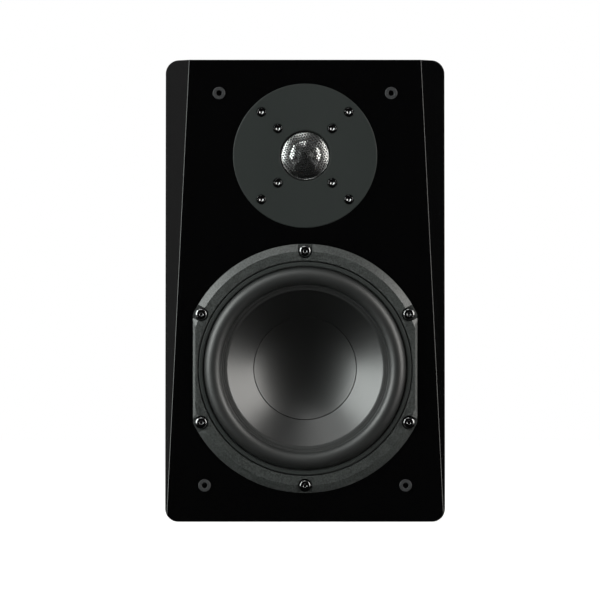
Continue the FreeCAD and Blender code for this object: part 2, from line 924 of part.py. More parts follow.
def ring(label, inner, outer, low, high, where, turn=TO_FRONT, keep=True):
    corners = [(inner, low), (outer, low), (outer, high), (inner, high)]
    return turned(label, corners, where, turn, keep)


ring("woofer_top_plate", GAP_OUTER, "45", MAGNET_TOP, MOTOR_TOP, WOOFER)
ring("woofer_magnet", "27", "magnet_radius", MAGNET_BACK, MAGNET_TOP, WOOFER)
turned(
    "woofer_pole_plate",
    [
        ("5", f"{MAGNET_BACK} - steel_plate_thickness"),
        ("44", f"{MAGNET_BACK} - steel_plate_thickness"),
        ("46", f"{MAGNET_BACK} - steel_plate_thickness + 2"),
        ("46", MAGNET_BACK),
        (POLE_RADIUS, MAGNET_BACK),
        (POLE_RADIUS, "-motor_depth + 0.5"),
        ("5", "-motor_depth + 0.5"),
    ],
    WOOFER,
    TO_FRONT,
)
ring(
    "woofer_shorting_ring",
    f"{POLE_RADIUS} + 0.05",
    "22.5",
    MAGNET_BACK,
    f"{MAGNET_BACK} + 3.5",
    WOOFER,
)


def below(assembly, depth, across, up):
    """A point behind the baffle's face, on an assembly's axis or off it, as three formulas."""
    return on_face(assembly, across, up, f"-({depth})")


# Terminal strip under the basket's motor ring, with two solder tabs
STRIP_UP = "-(spider_rim_radius + 4) - 1.6"
strip_board = box(
    "strip_board", "26", "14", "1.6", below(WOOFER, "37", "-13", STRIP_UP), keep=False
)
strip_tabs = [
    box(f"strip_tab_{i}", "4.8", "12", "0.8", below(WOOFER, "40", x, f"{STRIP_UP} - 0.8"), False)
    for i, x in enumerate(("-10.4", "5.6"))
]
together("woofer_terminal_strip", [strip_board, *strip_tabs])

woofer_screw = button_screw("woofer_screw", "4.55", "2.8", WOOFER_SHANK, "20", "3")
copies(
    "woofer_screws",
    woofer_screw,
    [on_face(WOOFER, f"({x})", f"({y})", "woofer_rim_edge") for x, y in WOOFER_SCREWS],
    TO_FRONT,
)


# ---------------------------------------------------------------- leads


def lead_path(points):
    """Straight runs joined by tangent arcs, each as large as its two runs allow."""
    edges, at = [], points[0]
    for before, corner, after in zip(points, points[1:], points[2:]):
        run_in, run_out = corner - before, after - corner
        half_turn = run_in.getAngle(run_out) / 2
        setback = 0.45 * min(run_in.Length, run_out.Length)
        toward = Vector(run_in).normalize()
        away = Vector(run_out).normalize()
        start, end = corner - toward * setback, corner + away * setback
        radius = setback / math.tan(half_turn)
        inward = (away - toward).normalize()
        middle = corner + inward * (radius / math.cos(half_turn) - radius)
        edges.append(Part.LineSegment(at, start).toShape())
        edges.append(Part.Arc(start, middle, end).toShape())
        at = end
    edges.append(Part.LineSegment(at, points[-1]).toShape())
    return Part.Wire(edges)


def lead(points, radius):
    """A round wire swept along a route given by points of three formulas each."""
    path = lead_path([Vector(*[size(f) for f in point]) for point in points])
    first = path.Edges[0]
    way = first.tangentAt(first.FirstParameter)
    rim = Part.Wire([Part.makeCircle(radius, first.valueAt(first.FirstParameter), way)])
    solid = path.makePipeShell([rim], True, True)
    expected = math.pi * radius * radius * path.Length
    if abs(solid.Volume - expected) > 0.02 * expected:
        raise RuntimeError("a lead's volume is not its section times its length")
    bends = [round(edge.Curve.Radius, 1) for edge in path.Edges[1::2]]
    print("lead of radius", radius, "length", round(path.Length), "bend radii", bends)
    return solid


def leads(label, routes, radius):
    """One node of several wires."""
    group = doc.addObject("Part::Feature", label)
    group.Label = label
    group.Shape = Part.makeCompound([lead(route, size(radius)) for route in routes])
    PIECES.append(group)


# Braided leads from the cone to the terminal strip, through the lower basket window
leads(
    "woofer_tinsel_leads",
    [
        [
            below(WOOFER, "21.4", f"{side}7", "-29"),
            below(WOOFER, "26", f"{side}7.2", "-29.6"),
            below(WOOFER, "29.5", f"{side}7.8", "-36"),
            below(WOOFER, "27.5", f"{side}8.4", "-46"),
            below(WOOFER, "26.5", f"{side}8.2", "-55"),
            below(WOOFER, "30.5", f"{side}8", "-61.8"),
            below(WOOFER, "40", f"{side}8", "-60.8"),
        ]
        for side in ("-", "")
    ],
    "0.6",
)


# ---------------------------------------------------------------- tweeter

PLATE_BACK = "(tweeter_gasket_thickness - tweeter_recess_depth)"
SCREW_SEAT = "-2"
HUB_RADIUS = "33"
HUB_BACK = "-6"


def tweeter_faceplate():
    """The round faceplate, with a stepped mouth for the guard and a hub for the motor."""
    body = turned(
        "tweeter_faceplate",
        [
            ("tweeter_plate_radius", PLATE_BACK),
            ("tweeter_plate_radius", "tweeter_plate_face - 0.6"),
            ("tweeter_plate_radius - 0.6", "tweeter_plate_face", "left", "0.6"),
            ("tweeter_mouth_radius + 0.5", "tweeter_plate_face"),
            ("tweeter_mouth_radius", "tweeter_plate_face - 0.5"),
            ("tweeter_mouth_radius", "-1.8"),
            ("16.8", "-1.8"),
            ("16.2", HUB_BACK),
            (HUB_RADIUS, HUB_BACK),
            (HUB_RADIUS, PLATE_BACK),
        ],
        TWEETER,
        TO_FRONT,
    )
    seats = [(x, y, "3.7") for x, y in TWEETER_SCREWS + MOTOR_SCREWS]
    face = "tweeter_plate_face"
    pocketed(body, "tweeter_seats", "XY_Plane", face, f"{face} - ({SCREW_SEAT})", circles=seats)
    holes = [(x, y, "2.05") for x, y in TWEETER_SCREWS + MOTOR_SCREWS]
    pocketed(body, "tweeter_holes", "XY_Plane", face, None, circles=holes)


tweeter_faceplate()
tweeter_gasket = padded(
    "tweeter_gasket",
    "XY_Plane",
    "-tweeter_recess_depth",
    "tweeter_gasket_thickness",
    [],
    [
        ("0", "0", "tweeter_plate_radius - 0.5"),
        ("0", "0", "tweeter_magnet_radius + 4.4"),
        *[(x, y, "2.3") for x, y in TWEETER_SCREWS],
    ],
)
place(tweeter_gasket, TWEETER, TO_FRONT)

DOME_RISE = "(tweeter_dome_base - tweeter_dome_depth)"
DOME_CURVE = f"((tweeter_dome_radius^2 + {DOME_RISE}^2)/(2*{DOME_RISE}))"
DOME_SKIN = "0.25"
DOME_INNER_CURVE = f"({DOME_CURVE} - {DOME_SKIN})"
DOME_INNER_RADIUS = f"sqrt({DOME_INNER_CURVE}^2 - ({DOME_CURVE} - {DOME_RISE})^2)"
GUARD_RISE = "(guard_height + 1.2)"
GUARD_FOOT = "(guard_radius - 1)"
GUARD_CURVE = f"(({GUARD_FOOT}^2 + {GUARD_RISE}^2)/(2*{GUARD_RISE}))"

# The guard: a thin domed shell with a flat rim, left without its fine perforations
turned(
    "tweeter_guard",
    [
        (GUARD_FOOT, "-1.7", "right", GUARD_CURVE),
        ("guard_radius", "-1.7"),
        ("guard_radius", "-1.2"),
        (GUARD_FOOT, "-1.2"),
        ("0", "guard_height", "left", GUARD_CURVE),
        ("0", "guard_height - guard_thickness"),
    ],
    TWEETER,
    TO_FRONT,
)
turned(
    "tweeter_dome",
    [
        (DOME_INNER_RADIUS, "-tweeter_dome_base", "right", DOME_INNER_CURVE),
        ("tweeter_dome_radius", "-tweeter_dome_base"),
        ("0", "-tweeter_dome_depth", "left", DOME_CURVE),
        ("0", f"-tweeter_dome_depth - {DOME_SKIN}"),
    ],
    TWEETER,
    TO_FRONT,
)
turned(
    "tweeter_surround",
    [
        ("18.6", "-6.6"),
        ("18.6", "-6.1"),
        ("15.9", "-6.1"),
        ("14.4", "-4.8", "left", "1.55"),
        ("12.9", "-6.1", "left", "1.55"),
        ("12.9", "-6.5"),
        ("13.3", "-6.5"),
        ("14.4", "-5.3", "right", "1.25"),
        ("15.5", "-6.5", "right", "1.25"),
        ("15.5", "-6.6"),
    ],
    TWEETER,
    TO_FRONT,
)
turned(
    "tweeter_voice_coil",
    [
        ("tweeter_dome_radius - 0.25", "-12.5"),
        ("tweeter_dome_radius + 0.4", "-12.5"),
        ("tweeter_dome_radius + 0.4", "-9.5"),
        ("tweeter_dome_radius", "-9.5"),
        ("tweeter_dome_radius", "-tweeter_dome_base"),
        ("tweeter_dome_radius - 0.25", "-tweeter_dome_base"),
    ],
    TWEETER,
    TO_FRONT,
)


def drilled(body, name, top, radius):
    """Lets the four motor screws through a tweeter piece."""
    circles = [(x, y, radius) for x, y in MOTOR_SCREWS]
    pocketed(body, name, "XY_Plane", top, None, circles=circles)


coupler = turned(
    "tweeter_coupler_ring",
    [
        ("15.2", "-9"),
        (HUB_RADIUS, "-9"),
        (HUB_RADIUS, HUB_BACK),
        ("18.9", HUB_BACK),
        ("18.9", "-6.6"),
        ("15.2", "-6.6"),
    ],
    TWEETER,
    TO_FRONT,
)
drilled(coupler, "coupler_holes", HUB_BACK, "2.05")
top_plate = ring("tweeter_top_plate", "13.6", HUB_RADIUS, "-13", "-9", TWEETER)
drilled(top_plate, "tweeter_top_plate_holes", "-9", f"{TWEETER_SHANK} + {PILOT_CLEARANCE}")
ring("tweeter_magnet", "18", "tweeter_magnet_radius", "-25", "-13", TWEETER)
turned(
    "tweeter_pole_plate",
    [
        ("4", "-29"),
        (HUB_RADIUS, "-29"),
        (HUB_RADIUS, "-25"),
        ("12", "-25"),
        ("12", "-9"),
        ("4", "-9"),
    ],
    TWEETER,
    TO_FRONT,
)
turned(
    "tweeter_rear_chamber",
    [
        ("0", "-45"),
        ("28", "-45"),
        ("30", "-43", "left", "2"),
        ("30", "-29"),
        ("28", "-29"),
        ("28", "-43"),
        ("0", "-43"),
    ],
    TWEETER,
    TO_FRONT,
)

TAG_UP = "-tweeter_magnet_radius - 1.6"
tag_board = box("tag_board", "22", "12", "1.6", below(TWEETER, "13", "-11", TAG_UP), False)
tags = [
    box(f"tag_{i}", "4.8", "12", "0.8", below(TWEETER, "20", x, f"{TAG_UP} - 0.8"), False)
    for i, x in enumerate(("-9.6", "4.8"))
]
together("tweeter_terminals", [tag_board, *tags])

tweeter_screw = button_screw("tweeter_screw", "3.25", "2", TWEETER_SHANK, "17", "2.5")
copies(
    "tweeter_mounting_screws",
    tweeter_screw,
    [on_face(TWEETER, f"({x})", f"({y})", SCREW_SEAT) for x, y in TWEETER_SCREWS],
    TO_FRONT,
)
motor_screw = button_screw("motor_screw", "3.25", "2", TWEETER_SHANK, "10.6", "2.5")
copies(
    "tweeter_motor_screws",
    motor_screw,
    [on_face(TWEETER, f"({x})", f"({y})", SCREW_SEAT) for x, y in MOTOR_SCREWS],
    TO_FRONT,
)


# ---------------------------------------------------------------- reflex port

FLARE_RADIUS = "(port_radius + port_flare_radius)"
FLARE_START = "(port_flange_face - port_flare_radius)"
TUBE_OUTER = "(port_radius + port_wall)"
FLARE_OUTER = "(port_flare_radius - port_wall)"

turned(
    "port_tube",
    [
        ("port_flange_radius", "0"),
        ("port_flange_radius", "port_flange_face - 0.8"),
        ("port_flange_radius - 0.8", "port_flange_face", "left", "0.8"),
        (FLARE_RADIUS, "port_flange_face"),
        ("port_radius", FLARE_START, "left", "port_flare_radius"),
        ("port_radius", "-port_tube_length"),
        (TUBE_OUTER, "-port_tube_length"),
        (TUBE_OUTER, FLARE_START),
        (FLARE_RADIUS, f"{FLARE_START} + {FLARE_OUTER}", "right", FLARE_OUTER),
        (f"{FLARE_RADIUS} + 1.6", f"{FLARE_START} + {FLARE_OUTER}"),
        (f"{FLARE_RADIUS} + 1.6", "0"),
    ],
    PORT,
    TO_BACK,
)
turned(
    "port_inner_flare",
    [
        (TUBE_OUTER, "-port_tube_length + 8"),
        (TUBE_OUTER, "-port_tube_length"),
        ("port_radius", "-port_tube_length"),
        ("port_radius", "-port_flare_length + 9"),
        ("port_radius + 9", "-port_flare_length", "left", "9"),
        ("port_radius + 12", "-port_flare_length"),
        (f"{TUBE_OUTER} + 2", "-port_flare_length + 9.4", "right", "12"),
        (f"{TUBE_OUTER} + 2", "-port_tube_length + 8"),
    ],
    PORT,
    TO_BACK,
)


# ---------------------------------------------------------------- terminals

HALF_WIDE = "terminal_plate_width/2"
HALF_HIGH = "terminal_plate_height/2"


def terminal_plate():
    """The moulded plate that closes the rear cut-out and carries the two binding posts."""
    body = padded(
        "terminal_plate",
        "XY_Plane",
        "1",
        "terminal_plate_face - 1",
        [
            rounded_box(
                f"-{HALF_WIDE}", HALF_WIDE, f"-{HALF_HIGH}", HALF_HIGH, "terminal_corner_radius"
            )
        ],
    )
    doc.recompute()
    rim = [
        f"Edge{number}"
        for number, edge in enumerate(body.Shape.Edges, start=1)
        if all(abs(v.Z - size("terminal_plate_face")) < 1e-6 for v in edge.Vertexes)
    ]
    plate = body.Tip
    bevel = body.newObject("PartDesign::Chamfer", "terminal_plate_bevel")
    bevel.Base = (plate, rim)
    bevel.Size = 0.8
    holes = [(f"{a}post_half_span", "0", "post_shaft_radius + 2.1") for a in ("", "-")]
    holes += [(f"{a}terminal_screw_x", f"{b}terminal_screw_y", "1.9") for a, b in QUARTERS]
    pocketed(body, "terminal_holes", "XY_Plane", "terminal_plate_face", None, circles=holes)
    place(body, TERMINAL, TO_BACK)


terminal_plate()
terminal_gasket = padded(
    "terminal_gasket",
    "XY_Plane",
    "0",
    "1",
    [
        rounded_box(
            f"-{HALF_WIDE} + 1", f"{HALF_WIDE} - 1", f"-{HALF_HIGH} + 1", f"{HALF_HIGH} - 1", "9"
        ),
        rounded_box(
            f"-{HALF_WIDE} + 12", f"{HALF_WIDE} - 12", f"-{HALF_HIGH} + 13", f"{HALF_HIGH} - 13", "6"
        ),
    ],
    [(f"{a}terminal_screw_x", f"{b}terminal_screw_y", "2") for a, b in QUARTERS],
)
place(terminal_gasket, TERMINAL, TO_BACK)

terminal_screw = button_screw("terminal_screw", "3.1", "1.8", TERMINAL_SHANK, "14", "2")
copies(
    "terminal_screws",
    terminal_screw,
    [
        on_back(TERMINAL, f"({a}terminal_screw_x)", f"({b}terminal_screw_y)", "terminal_plate_face")
        for a, b in QUARTERS
    ],
    TO_BACK,
)

insulator = turned(
    "post_insulator",
    [
        ("post_shaft_radius + 0.1", "1"),
        ("post_shaft_radius + 2", "1"),
        ("post_shaft_radius + 2", "terminal_plate_face"),
        ("post_knob_radius + 0.8", "terminal_plate_face"),
        ("post_knob_radius + 0.8", "post_insulator_face - 0.6"),
        ("post_knob_radius + 0.2", "post_insulator_face"),
        ("post_shaft_radius + 0.1", "post_insulator_face"),
    ],
    ORIGIN,
    UPRIGHT,
    keep=False,
)
POSTS = {"red": "", "black": "-"}
copies(
    "post_insulators",
    insulator,
    [on_back(TERMINAL, f"({sign}post_half_span)", "0") for sign in POSTS.values()],
    TO_BACK,
)
inner_nut = padded(
    "inner_nut",
    "XY_Plane",
    "-3.6",
    "3.6",
    [hexagon("13")],
    [("0", "0", "post_shaft_radius + 0.1")],
    keep=False,
)
copies(
    "post_inner_nuts",
    inner_nut,
    [on_back(TERMINAL, f"({sign}post_half_span)", "0", "0.98") for sign in POSTS.values()],
    TO_BACK,
)


def binding_post(colour, sign):
    """A threaded post with its wire hole, and the clamp washer and knob that run on it."""
    axis = on_back(TERMINAL, f"({sign}post_half_span)", "0")
    shaft = turned(
        f"{colour}_post_shaft",
        [
            ("0", "-14"),
            ("post_shaft_radius - 0.6", "-14"),
            ("post_shaft_radius", "-13.4"),
            ("post_shaft_radius", "post_shaft_end - 0.6"),
            ("post_shaft_radius - 0.6", "post_shaft_end"),
            ("post_banana_radius + 0.3", "post_shaft_end"),
            ("post_banana_radius", "post_shaft_end - 0.3"),
            ("post_banana_radius", "post_banana_floor"),
            ("0", "post_banana_floor"),
        ],
        axis,
        TO_BACK,
    )
    hole = [("0", "post_wire_hole_height", "post_wire_hole_radius")]
    pocketed(shaft, f"{colour}_wire_hole", "XZ_Plane", "0", None, circles=hole)
    washer_low = "(post_insulator_face + post_backoff)"
    washer_high = f"({washer_low} + post_washer_thickness)"
    bore = "(post_shaft_radius + 0.1)"
    turned(
        f"{colour}_post_washer",
        [
            (bore, washer_low),
            ("post_knob_radius - 1.8", washer_low),
            ("post_knob_radius - 1.3", f"{washer_low} + 0.5"),
            ("post_knob_radius - 1.3", washer_high),
            (bore, washer_high),
        ],
        axis,
        TO_BACK,
    )
    knob_low = f"({washer_high} + 0.05)"
    knob_high = f"({knob_low} + post_knob_length)"
    knob = turned(
        f"{colour}_post_knob",
        [
            (bore, knob_low),
            ("post_knob_radius - 0.8", knob_low),
            ("post_knob_radius", f"{knob_low} + 0.8"),
            ("post_knob_radius", f"{knob_high} - 1.2"),
            ("post_knob_radius - 1.2", knob_high, "left", "1.2"),
            (f"{bore} + 0.8", knob_high),
            (bore, f"{knob_high} - 0.8"),
        ],
        axis,
        TO_BACK,
    )
    flute = pocketed(
        knob,
        f"{colour}_knob_flute",
        "XY_Plane",
        knob_high,
        "post_knob_length - 3",
        circles=[("post_knob_radius + 0.9", "0", "1.5")],
    )
    around(knob, flute, 12)


for post_colour, post_sign in POSTS.items():
    binding_post(post_colour, post_sign)


# ---------------------------------------------------------------- crossover

BOARD_FLOOR = "wall_thickness + board_lift"
BOARD_FACE = f"{BOARD_FLOOR} + board_thickness"
box(
    "crossover_board",
    "board_width",
    "board_depth",
    "board_thickness",
    ("-board_width/2", "board_centre_y - board_depth/2", BOARD_FLOOR),
)
together(
    "crossover_spacers",
    [
        cylinder(
            f"spacer_{i}",
            "3.5",
            "board_lift",
            (f"{a}(board_width/2 - 6)", f"board_centre_y + {b}(board_depth/2 - 6)", "wall_thickness"),
        )
        for i, (a, b) in enumerate([("", "1*"), ("-", "1*"), ("-", "-1*"), ("", "-1*")])
    ],
)


def inductor(label, inner, outer, tall, x, y):
    where = (x, f"board_centre_y + ({y})", BOARD_FACE)
    return ring(label, inner, outer, "0", tall, where, UPRIGHT, keep=False)


together(
    "crossover_inductors",
    [
        inductor("woofer_inductor", "8", "19", "18", "-36", "-16"),
        inductor("tweeter_inductor", "6", "13", "13", "-38", "24"),
    ],
)
ACROSS = Rotation(Vector(0, 1, 0), 90)
together(
    "crossover_capacitors",
    [
        cylinder(
            f"capacitor_{i}",
            radius,
            length,
            (x, f"board_centre_y + ({y})", f"{BOARD_FACE} + {radius}"),
            ACROSS,
        )
        for i, (radius, length, x, y) in enumerate(
            [("9", "34", "8", "-30"), ("7", "30", "12", "-8"), ("7", "30", "12", "10")]
        )
    ],
)
together(
    "crossover_resistors",
    [
        box(f"resistor_{i}", "26", "8", "8", (x, f"board_centre_y + {y}", BOARD_FACE), False)
        for i, (x, y) in enumerate([("-14", "30"), ("22", "30")])
    ],
)


# Wires between the posts, the board and the two drivers, routed clear of every other piece
BOARD_TOP = f"({BOARD_FACE})"


def behind(depth, across, up):
    """A point inside the cabinet, in front of the back face, from the terminals' centre."""
    return on_back(TERMINAL, across, up, f"-({depth})")


INPUT_ROUTES = [
    [
        behind("14", f"({sign}post_half_span)", "0"),
        behind("24", f"({sign}post_half_span)", "0"),
        behind("33", f"({sign}post_half_span)", "-18"),
        behind("31.5", f"({sign}post_half_span)", "-44"),
        behind("31.5", f"({sign}post_half_span)", f"{BOARD_TOP} - terminal_height"),
    ]
    for sign in POSTS.values()
]
WOOFER_ROUTES = [
    [
        below(WOOFER, "52", x, f"{STRIP_UP} - 0.4"),
        below(WOOFER, "64", x, f"{STRIP_UP} - 0.4"),
        below(WOOFER, "80", f"{x}*0.75", f"{STRIP_UP} - 6"),
        (f"{x}*0.7", "board_centre_y - 41", f"{BOARD_TOP} + 15"),
        (f"{x}*0.7", "board_centre_y - 41", BOARD_TOP),
    ]
    for x in ("-8", "8")
]
TWEETER_ROUTES = [
    [
        below(TWEETER, "32", start, f"{TAG_UP} - 0.4"),
        below(TWEETER, "44", start, f"{TAG_UP} - 0.4"),
        (f"{start} + {reach}*0.34", "-46", "brace_height + 18"),
        (f"{start} + {reach}*0.55", "-30", "brace_height - 10"),
        (f"{start} + {reach}*0.76", "-14", "brace_height - 50"),
        (f"{start} + {reach}*0.9", "2", "brace_height - 96"),
        (f"{start} + {reach}", "20", f"{BOARD_TOP} + 34"),
        (f"{start} + {reach}", "20", BOARD_TOP),
    ]
    for start, reach in (("-7.2", "57"), ("7.2", "48.6"))
]
leads("internal_wiring", INPUT_ROUTES + WOOFER_ROUTES + TWEETER_ROUTES, "lead_radius")


# ---------------------------------------------------------------- checks and export

doc.recompute()
for piece in doc.Objects:
    if {"Invalid", "Error"} & set(piece.State):
        raise RuntimeError(f"{piece.Label} failed: {piece.State}")

os.makedirs("parts", exist_ok=True)
for piece in PIECES:
    shape = piece.Shape
    if shape.isNull() or not shape.isValid() or shape.Volume <= 0:
        raise RuntimeError(f"{piece.Label} has no valid solid")
for piece in PIECES:
    piece.Shape.exportStep(f"parts/{piece.Label}.step")
print(len(PIECES), "nodes written")
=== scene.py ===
from math import asin, atan2, cos, degrees, hypot, pi, radians, sin, sqrt, tan

import bmesh
import bpy
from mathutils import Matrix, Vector
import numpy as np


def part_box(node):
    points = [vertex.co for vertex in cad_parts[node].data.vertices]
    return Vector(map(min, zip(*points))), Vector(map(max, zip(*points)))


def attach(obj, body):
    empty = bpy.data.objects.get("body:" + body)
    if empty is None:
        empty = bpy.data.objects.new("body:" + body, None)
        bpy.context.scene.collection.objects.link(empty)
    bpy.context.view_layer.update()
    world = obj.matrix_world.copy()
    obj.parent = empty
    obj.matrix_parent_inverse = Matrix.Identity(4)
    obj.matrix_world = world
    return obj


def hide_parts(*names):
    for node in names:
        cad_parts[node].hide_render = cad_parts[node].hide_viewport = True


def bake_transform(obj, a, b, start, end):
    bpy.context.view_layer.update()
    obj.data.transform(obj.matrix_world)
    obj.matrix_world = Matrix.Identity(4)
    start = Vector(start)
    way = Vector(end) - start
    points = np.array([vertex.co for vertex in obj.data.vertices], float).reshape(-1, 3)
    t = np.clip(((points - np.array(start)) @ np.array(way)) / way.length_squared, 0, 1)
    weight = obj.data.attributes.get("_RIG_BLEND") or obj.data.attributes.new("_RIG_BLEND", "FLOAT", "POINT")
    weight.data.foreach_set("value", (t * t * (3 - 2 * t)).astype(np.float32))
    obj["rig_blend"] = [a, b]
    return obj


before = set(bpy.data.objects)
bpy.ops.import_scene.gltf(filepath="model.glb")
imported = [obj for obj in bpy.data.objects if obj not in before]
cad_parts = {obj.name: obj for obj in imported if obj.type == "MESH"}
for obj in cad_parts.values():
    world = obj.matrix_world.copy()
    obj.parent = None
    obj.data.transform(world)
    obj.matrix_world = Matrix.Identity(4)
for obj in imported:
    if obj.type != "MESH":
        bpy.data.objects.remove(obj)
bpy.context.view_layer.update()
mm = 0.001
bpy.ops.object.select_all(action="DESELECT")


# ---------------- the view
# A long lens on a stand eight metres off looks straight at the baffle, level with the middle
# of its height and a hair to the left, so that the cabinet's sides are hardly seen.

baffle_low, baffle_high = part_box("front_baffle")
front = baffle_low.y
view_distance = 8.0
picture_width = 435 * mm
sensor_width = 36.0

bpy.ops.object.camera_add(
    location=(-3.7 * mm, front - view_distance, 0.48 * baffle_high.z),
    rotation=(pi / 2, 0, 0),
)
camera = bpy.context.object
camera.data.sensor_width = sensor_width
camera.data.lens = sensor_width * view_distance / picture_width
camera.data.clip_end = 40
bpy.context.scene.camera = camera


# ---------------- the light
# Two soft boxes stand high at the sides, the left one stronger, in a room that is dark behind
# the camera, so that black lacquer stays black. Cards behind, beside and above the cabinet
# are there only to be mirrored in its gloss.

aim = Vector((0, front, 0.5 * baffle_high.z))
soft_boxes = [
    ("left soft box", -66, 17, 1.5, (0.85, 1.4), 22, (0.95, 1.0, 0.975)),
    ("right soft box", 64, 15, 1.5, (0.7, 1.3), 15, (1.0, 0.985, 0.95)),
    ("top soft box", -30, 60, 1.6, (1.1, 0.5), 3.5, (0.98, 1.0, 0.98)),
]
room_light = 0.28
room_glow = 0.006


def soft_box(name, turn, rise, distance, size, power, colour):
    """A soft box that faces the cabinet, turned from the view's line and raised, in degrees."""
    turn, rise = radians(turn), radians(rise)
    way = Vector((sin(turn) * cos(rise), -cos(turn) * cos(rise), sin(rise)))
    bpy.ops.object.light_add(type="AREA", location=aim + distance * way)
    lamp = bpy.context.object
    lamp.name = name
    lamp.rotation_euler = way.to_track_quat("Z", "Y").to_euler()
    lamp.data.shape = "RECTANGLE"
    lamp.data.size, lamp.data.size_y = size
    lamp.data.energy = power
    lamp.data.color = colour


def add_node(tree, kind, inputs=(), **settings):
    """A node with its settings, and its inputs set to values or linked to sockets."""
    made = tree.nodes.new(kind)
    for name, value in settings.items():
        setattr(made, name, value)
    for name, value in dict(inputs).items():
        if isinstance(value, bpy.types.NodeSocket):
            tree.links.new(value, made.inputs[name])
        else:
            made.inputs[name].default_value = value
    return made


def maths(tree, operation, first, second):
    """The result of one operation on two values or sockets."""
    return add_node(tree, "ShaderNodeMath", {0: first, 1: second}, operation=operation).outputs[0]


def mixed(tree, share, first, second):
    """Two shaders mixed by a share."""
    return add_node(tree, "ShaderNodeMixShader", {0: share, 1: first, 2: second}).outputs[0]


def white_light(tree, strength):
    """An even white background of one strength."""
    inputs = {"Color": (1, 1, 1, 1), "Strength": strength}
    return add_node(tree, "ShaderNodeBackground", inputs).outputs[0]


for lamp in soft_boxes:
    soft_box(*lamp)

world = bpy.data.worlds.new("studio")
world.use_nodes = True
bpy.context.scene.world = world
room = world.node_tree
room.nodes.clear()
ray = add_node(room, "ShaderNodeLightPath").outputs
lit, glow, white = (white_light(room, strength) for strength in (room_light, room_glow, 1))
ambient = mixed(room, ray["Is Glossy Ray"], lit, glow)
seen = mixed(room, ray["Is Camera Ray"], ambient, white)
add_node(room, "ShaderNodeOutputWorld", {"Surface": seen})


def stage_material(name, colour, glow_strength):
    """A plain pale surface that the camera, glossy and transmission rays see as near white."""
    made = bpy.data.materials.new(name)
    made.use_nodes = True
    tree = made.node_tree
    tree.nodes.clear()
    ray = add_node(tree, "ShaderNodeLightPath").outputs
    direct = maths(tree, "MAXIMUM", ray["Is Camera Ray"], ray["Is Glossy Ray"])
    clear = maths(tree, "MAXIMUM", direct, ray["Is Transmission Ray"])
    strength = maths(tree, "MULTIPLY", clear, glow_strength)
    matt = add_node(tree, "ShaderNodeBsdfDiffuse", {"Color": (*colour, 1)}).outputs[0]
    shine = add_node(tree, "ShaderNodeEmission", {"Color": (1, 1, 1, 1), "Strength": strength})
    both = add_node(tree, "ShaderNodeAddShader", {0: matt, 1: shine.outputs[0]})
    add_node(tree, "ShaderNodeOutputMaterial", {"Surface": both.outputs[0]})
    return made


bpy.ops.mesh.primitive_plane_add(size=9, location=(0, 0, -0.2 * mm))
floor = bpy.context.object
floor.name = "studio_floor"
floor.data.materials.append(stage_material("pale floor", (0.8, 0.8, 0.8), 0.78))
floor.visible_glossy = False

cards = [
    ("white_card", 2.4, (0, 2.6, 0.6), (pi / 2, 0, 0), 1.0),
    ("left_dim_card", 2.0, (-2.4, 2.0, 0.3), (pi / 2, 0, 0.85), 0.035),
    ("left_low_card", 1.6, (-1.1, 0, -0.01), (0, 0, 0), 0.22),
    ("right_low_card", 1.6, (1.1, 0, -0.01), (0, 0, 0), 0.22),
    ("high_card", 4.0, (0, 0, 1.9), (0, 0, 0), 0.10),
]
for name, size, place, turn, strength in cards:
    bpy.ops.mesh.primitive_plane_add(size=size, location=place, rotation=turn)
    card = bpy.context.object
    card.name = name
    card.data.materials.append(stage_material(name, (0.05, 0.05, 0.05), strength))
    card.visible_camera = False
    card.visible_diffuse = False
    card.visible_shadow = False

bpy.context.scene.view_settings.view_transform = "Standard"


# ---------------- the cabinet
# Fibreboard panels, glued at mitred corners, sanded to one body, sprayed with black lacquer and
# polished. A long facet is planed off each front edge, and the baffle is routed for the drivers.

wall = 15 * mm
baffle_depth = 25 * mm
corner_radius = 9.5 * mm
facet_top, facet_foot = 17.4 * mm, 0.9 * mm
facet_slope = 2.2
edge_softness = 1.5 * mm
clear = 5 * mm
woofer_recess, woofer_recess_flat, woofer_hole = 90.7 * mm, 81.7 * mm, 74 * mm
tweeter_recess, tweeter_recess_depth, tweeter_hole = 52.6 * mm, 4 * mm, 40 * mm
driver_depth = 40 * mm
socket_hole, socket_depth, socket_rim = 3.7 * mm, 13 * mm, 4.5 * mm
socket_step = 10.5 * mm
lacquered_lip, hair = 6 * mm, 0.1 * mm
woofer_low, woofer_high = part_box("woofer_basket")
woofer_height = (woofer_low.z + woofer_high.z) / 2
tweeter_low, tweeter_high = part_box("tweeter_faceplate")
tweeter_height = (tweeter_low.z + tweeter_high.z) / 2
lacquer_black = (0.0010, 0.0010, 0.0011)


def select_only(piece):
    bpy.ops.object.select_all(action="DESELECT")
    piece.select_set(True)
    bpy.context.view_layer.objects.active = piece


def settle(piece):
    """Moves a piece's place, turn and size into its mesh, so that its object is at the origin."""
    select_only(piece)
    bpy.ops.object.transform_apply(location=True, rotation=True, scale=True)
    return piece


def shaped(piece, kind, **settings):
    """Adds one modifier to a piece and applies it."""
    select_only(piece)
    modifier = piece.modifiers.new(kind.lower(), kind)
    for name, value in settings.items():
        setattr(modifier, name, value)
    bpy.ops.object.modifier_apply(modifier=modifier.name)


def cut_with(piece, cutter, operation="DIFFERENCE"):
    shaped(piece, "BOOLEAN", operation=operation, object=cutter, solver="EXACT")
    bpy.data.objects.remove(cutter)


def block(name, low, high):
    """A box between two corners."""
    low, high = Vector(low), Vector(high)
    bpy.ops.mesh.primitive_cube_add(size=1, location=(low + high) / 2, scale=high - low)
    piece = bpy.context.object
    piece.name = name
    return settle(piece)


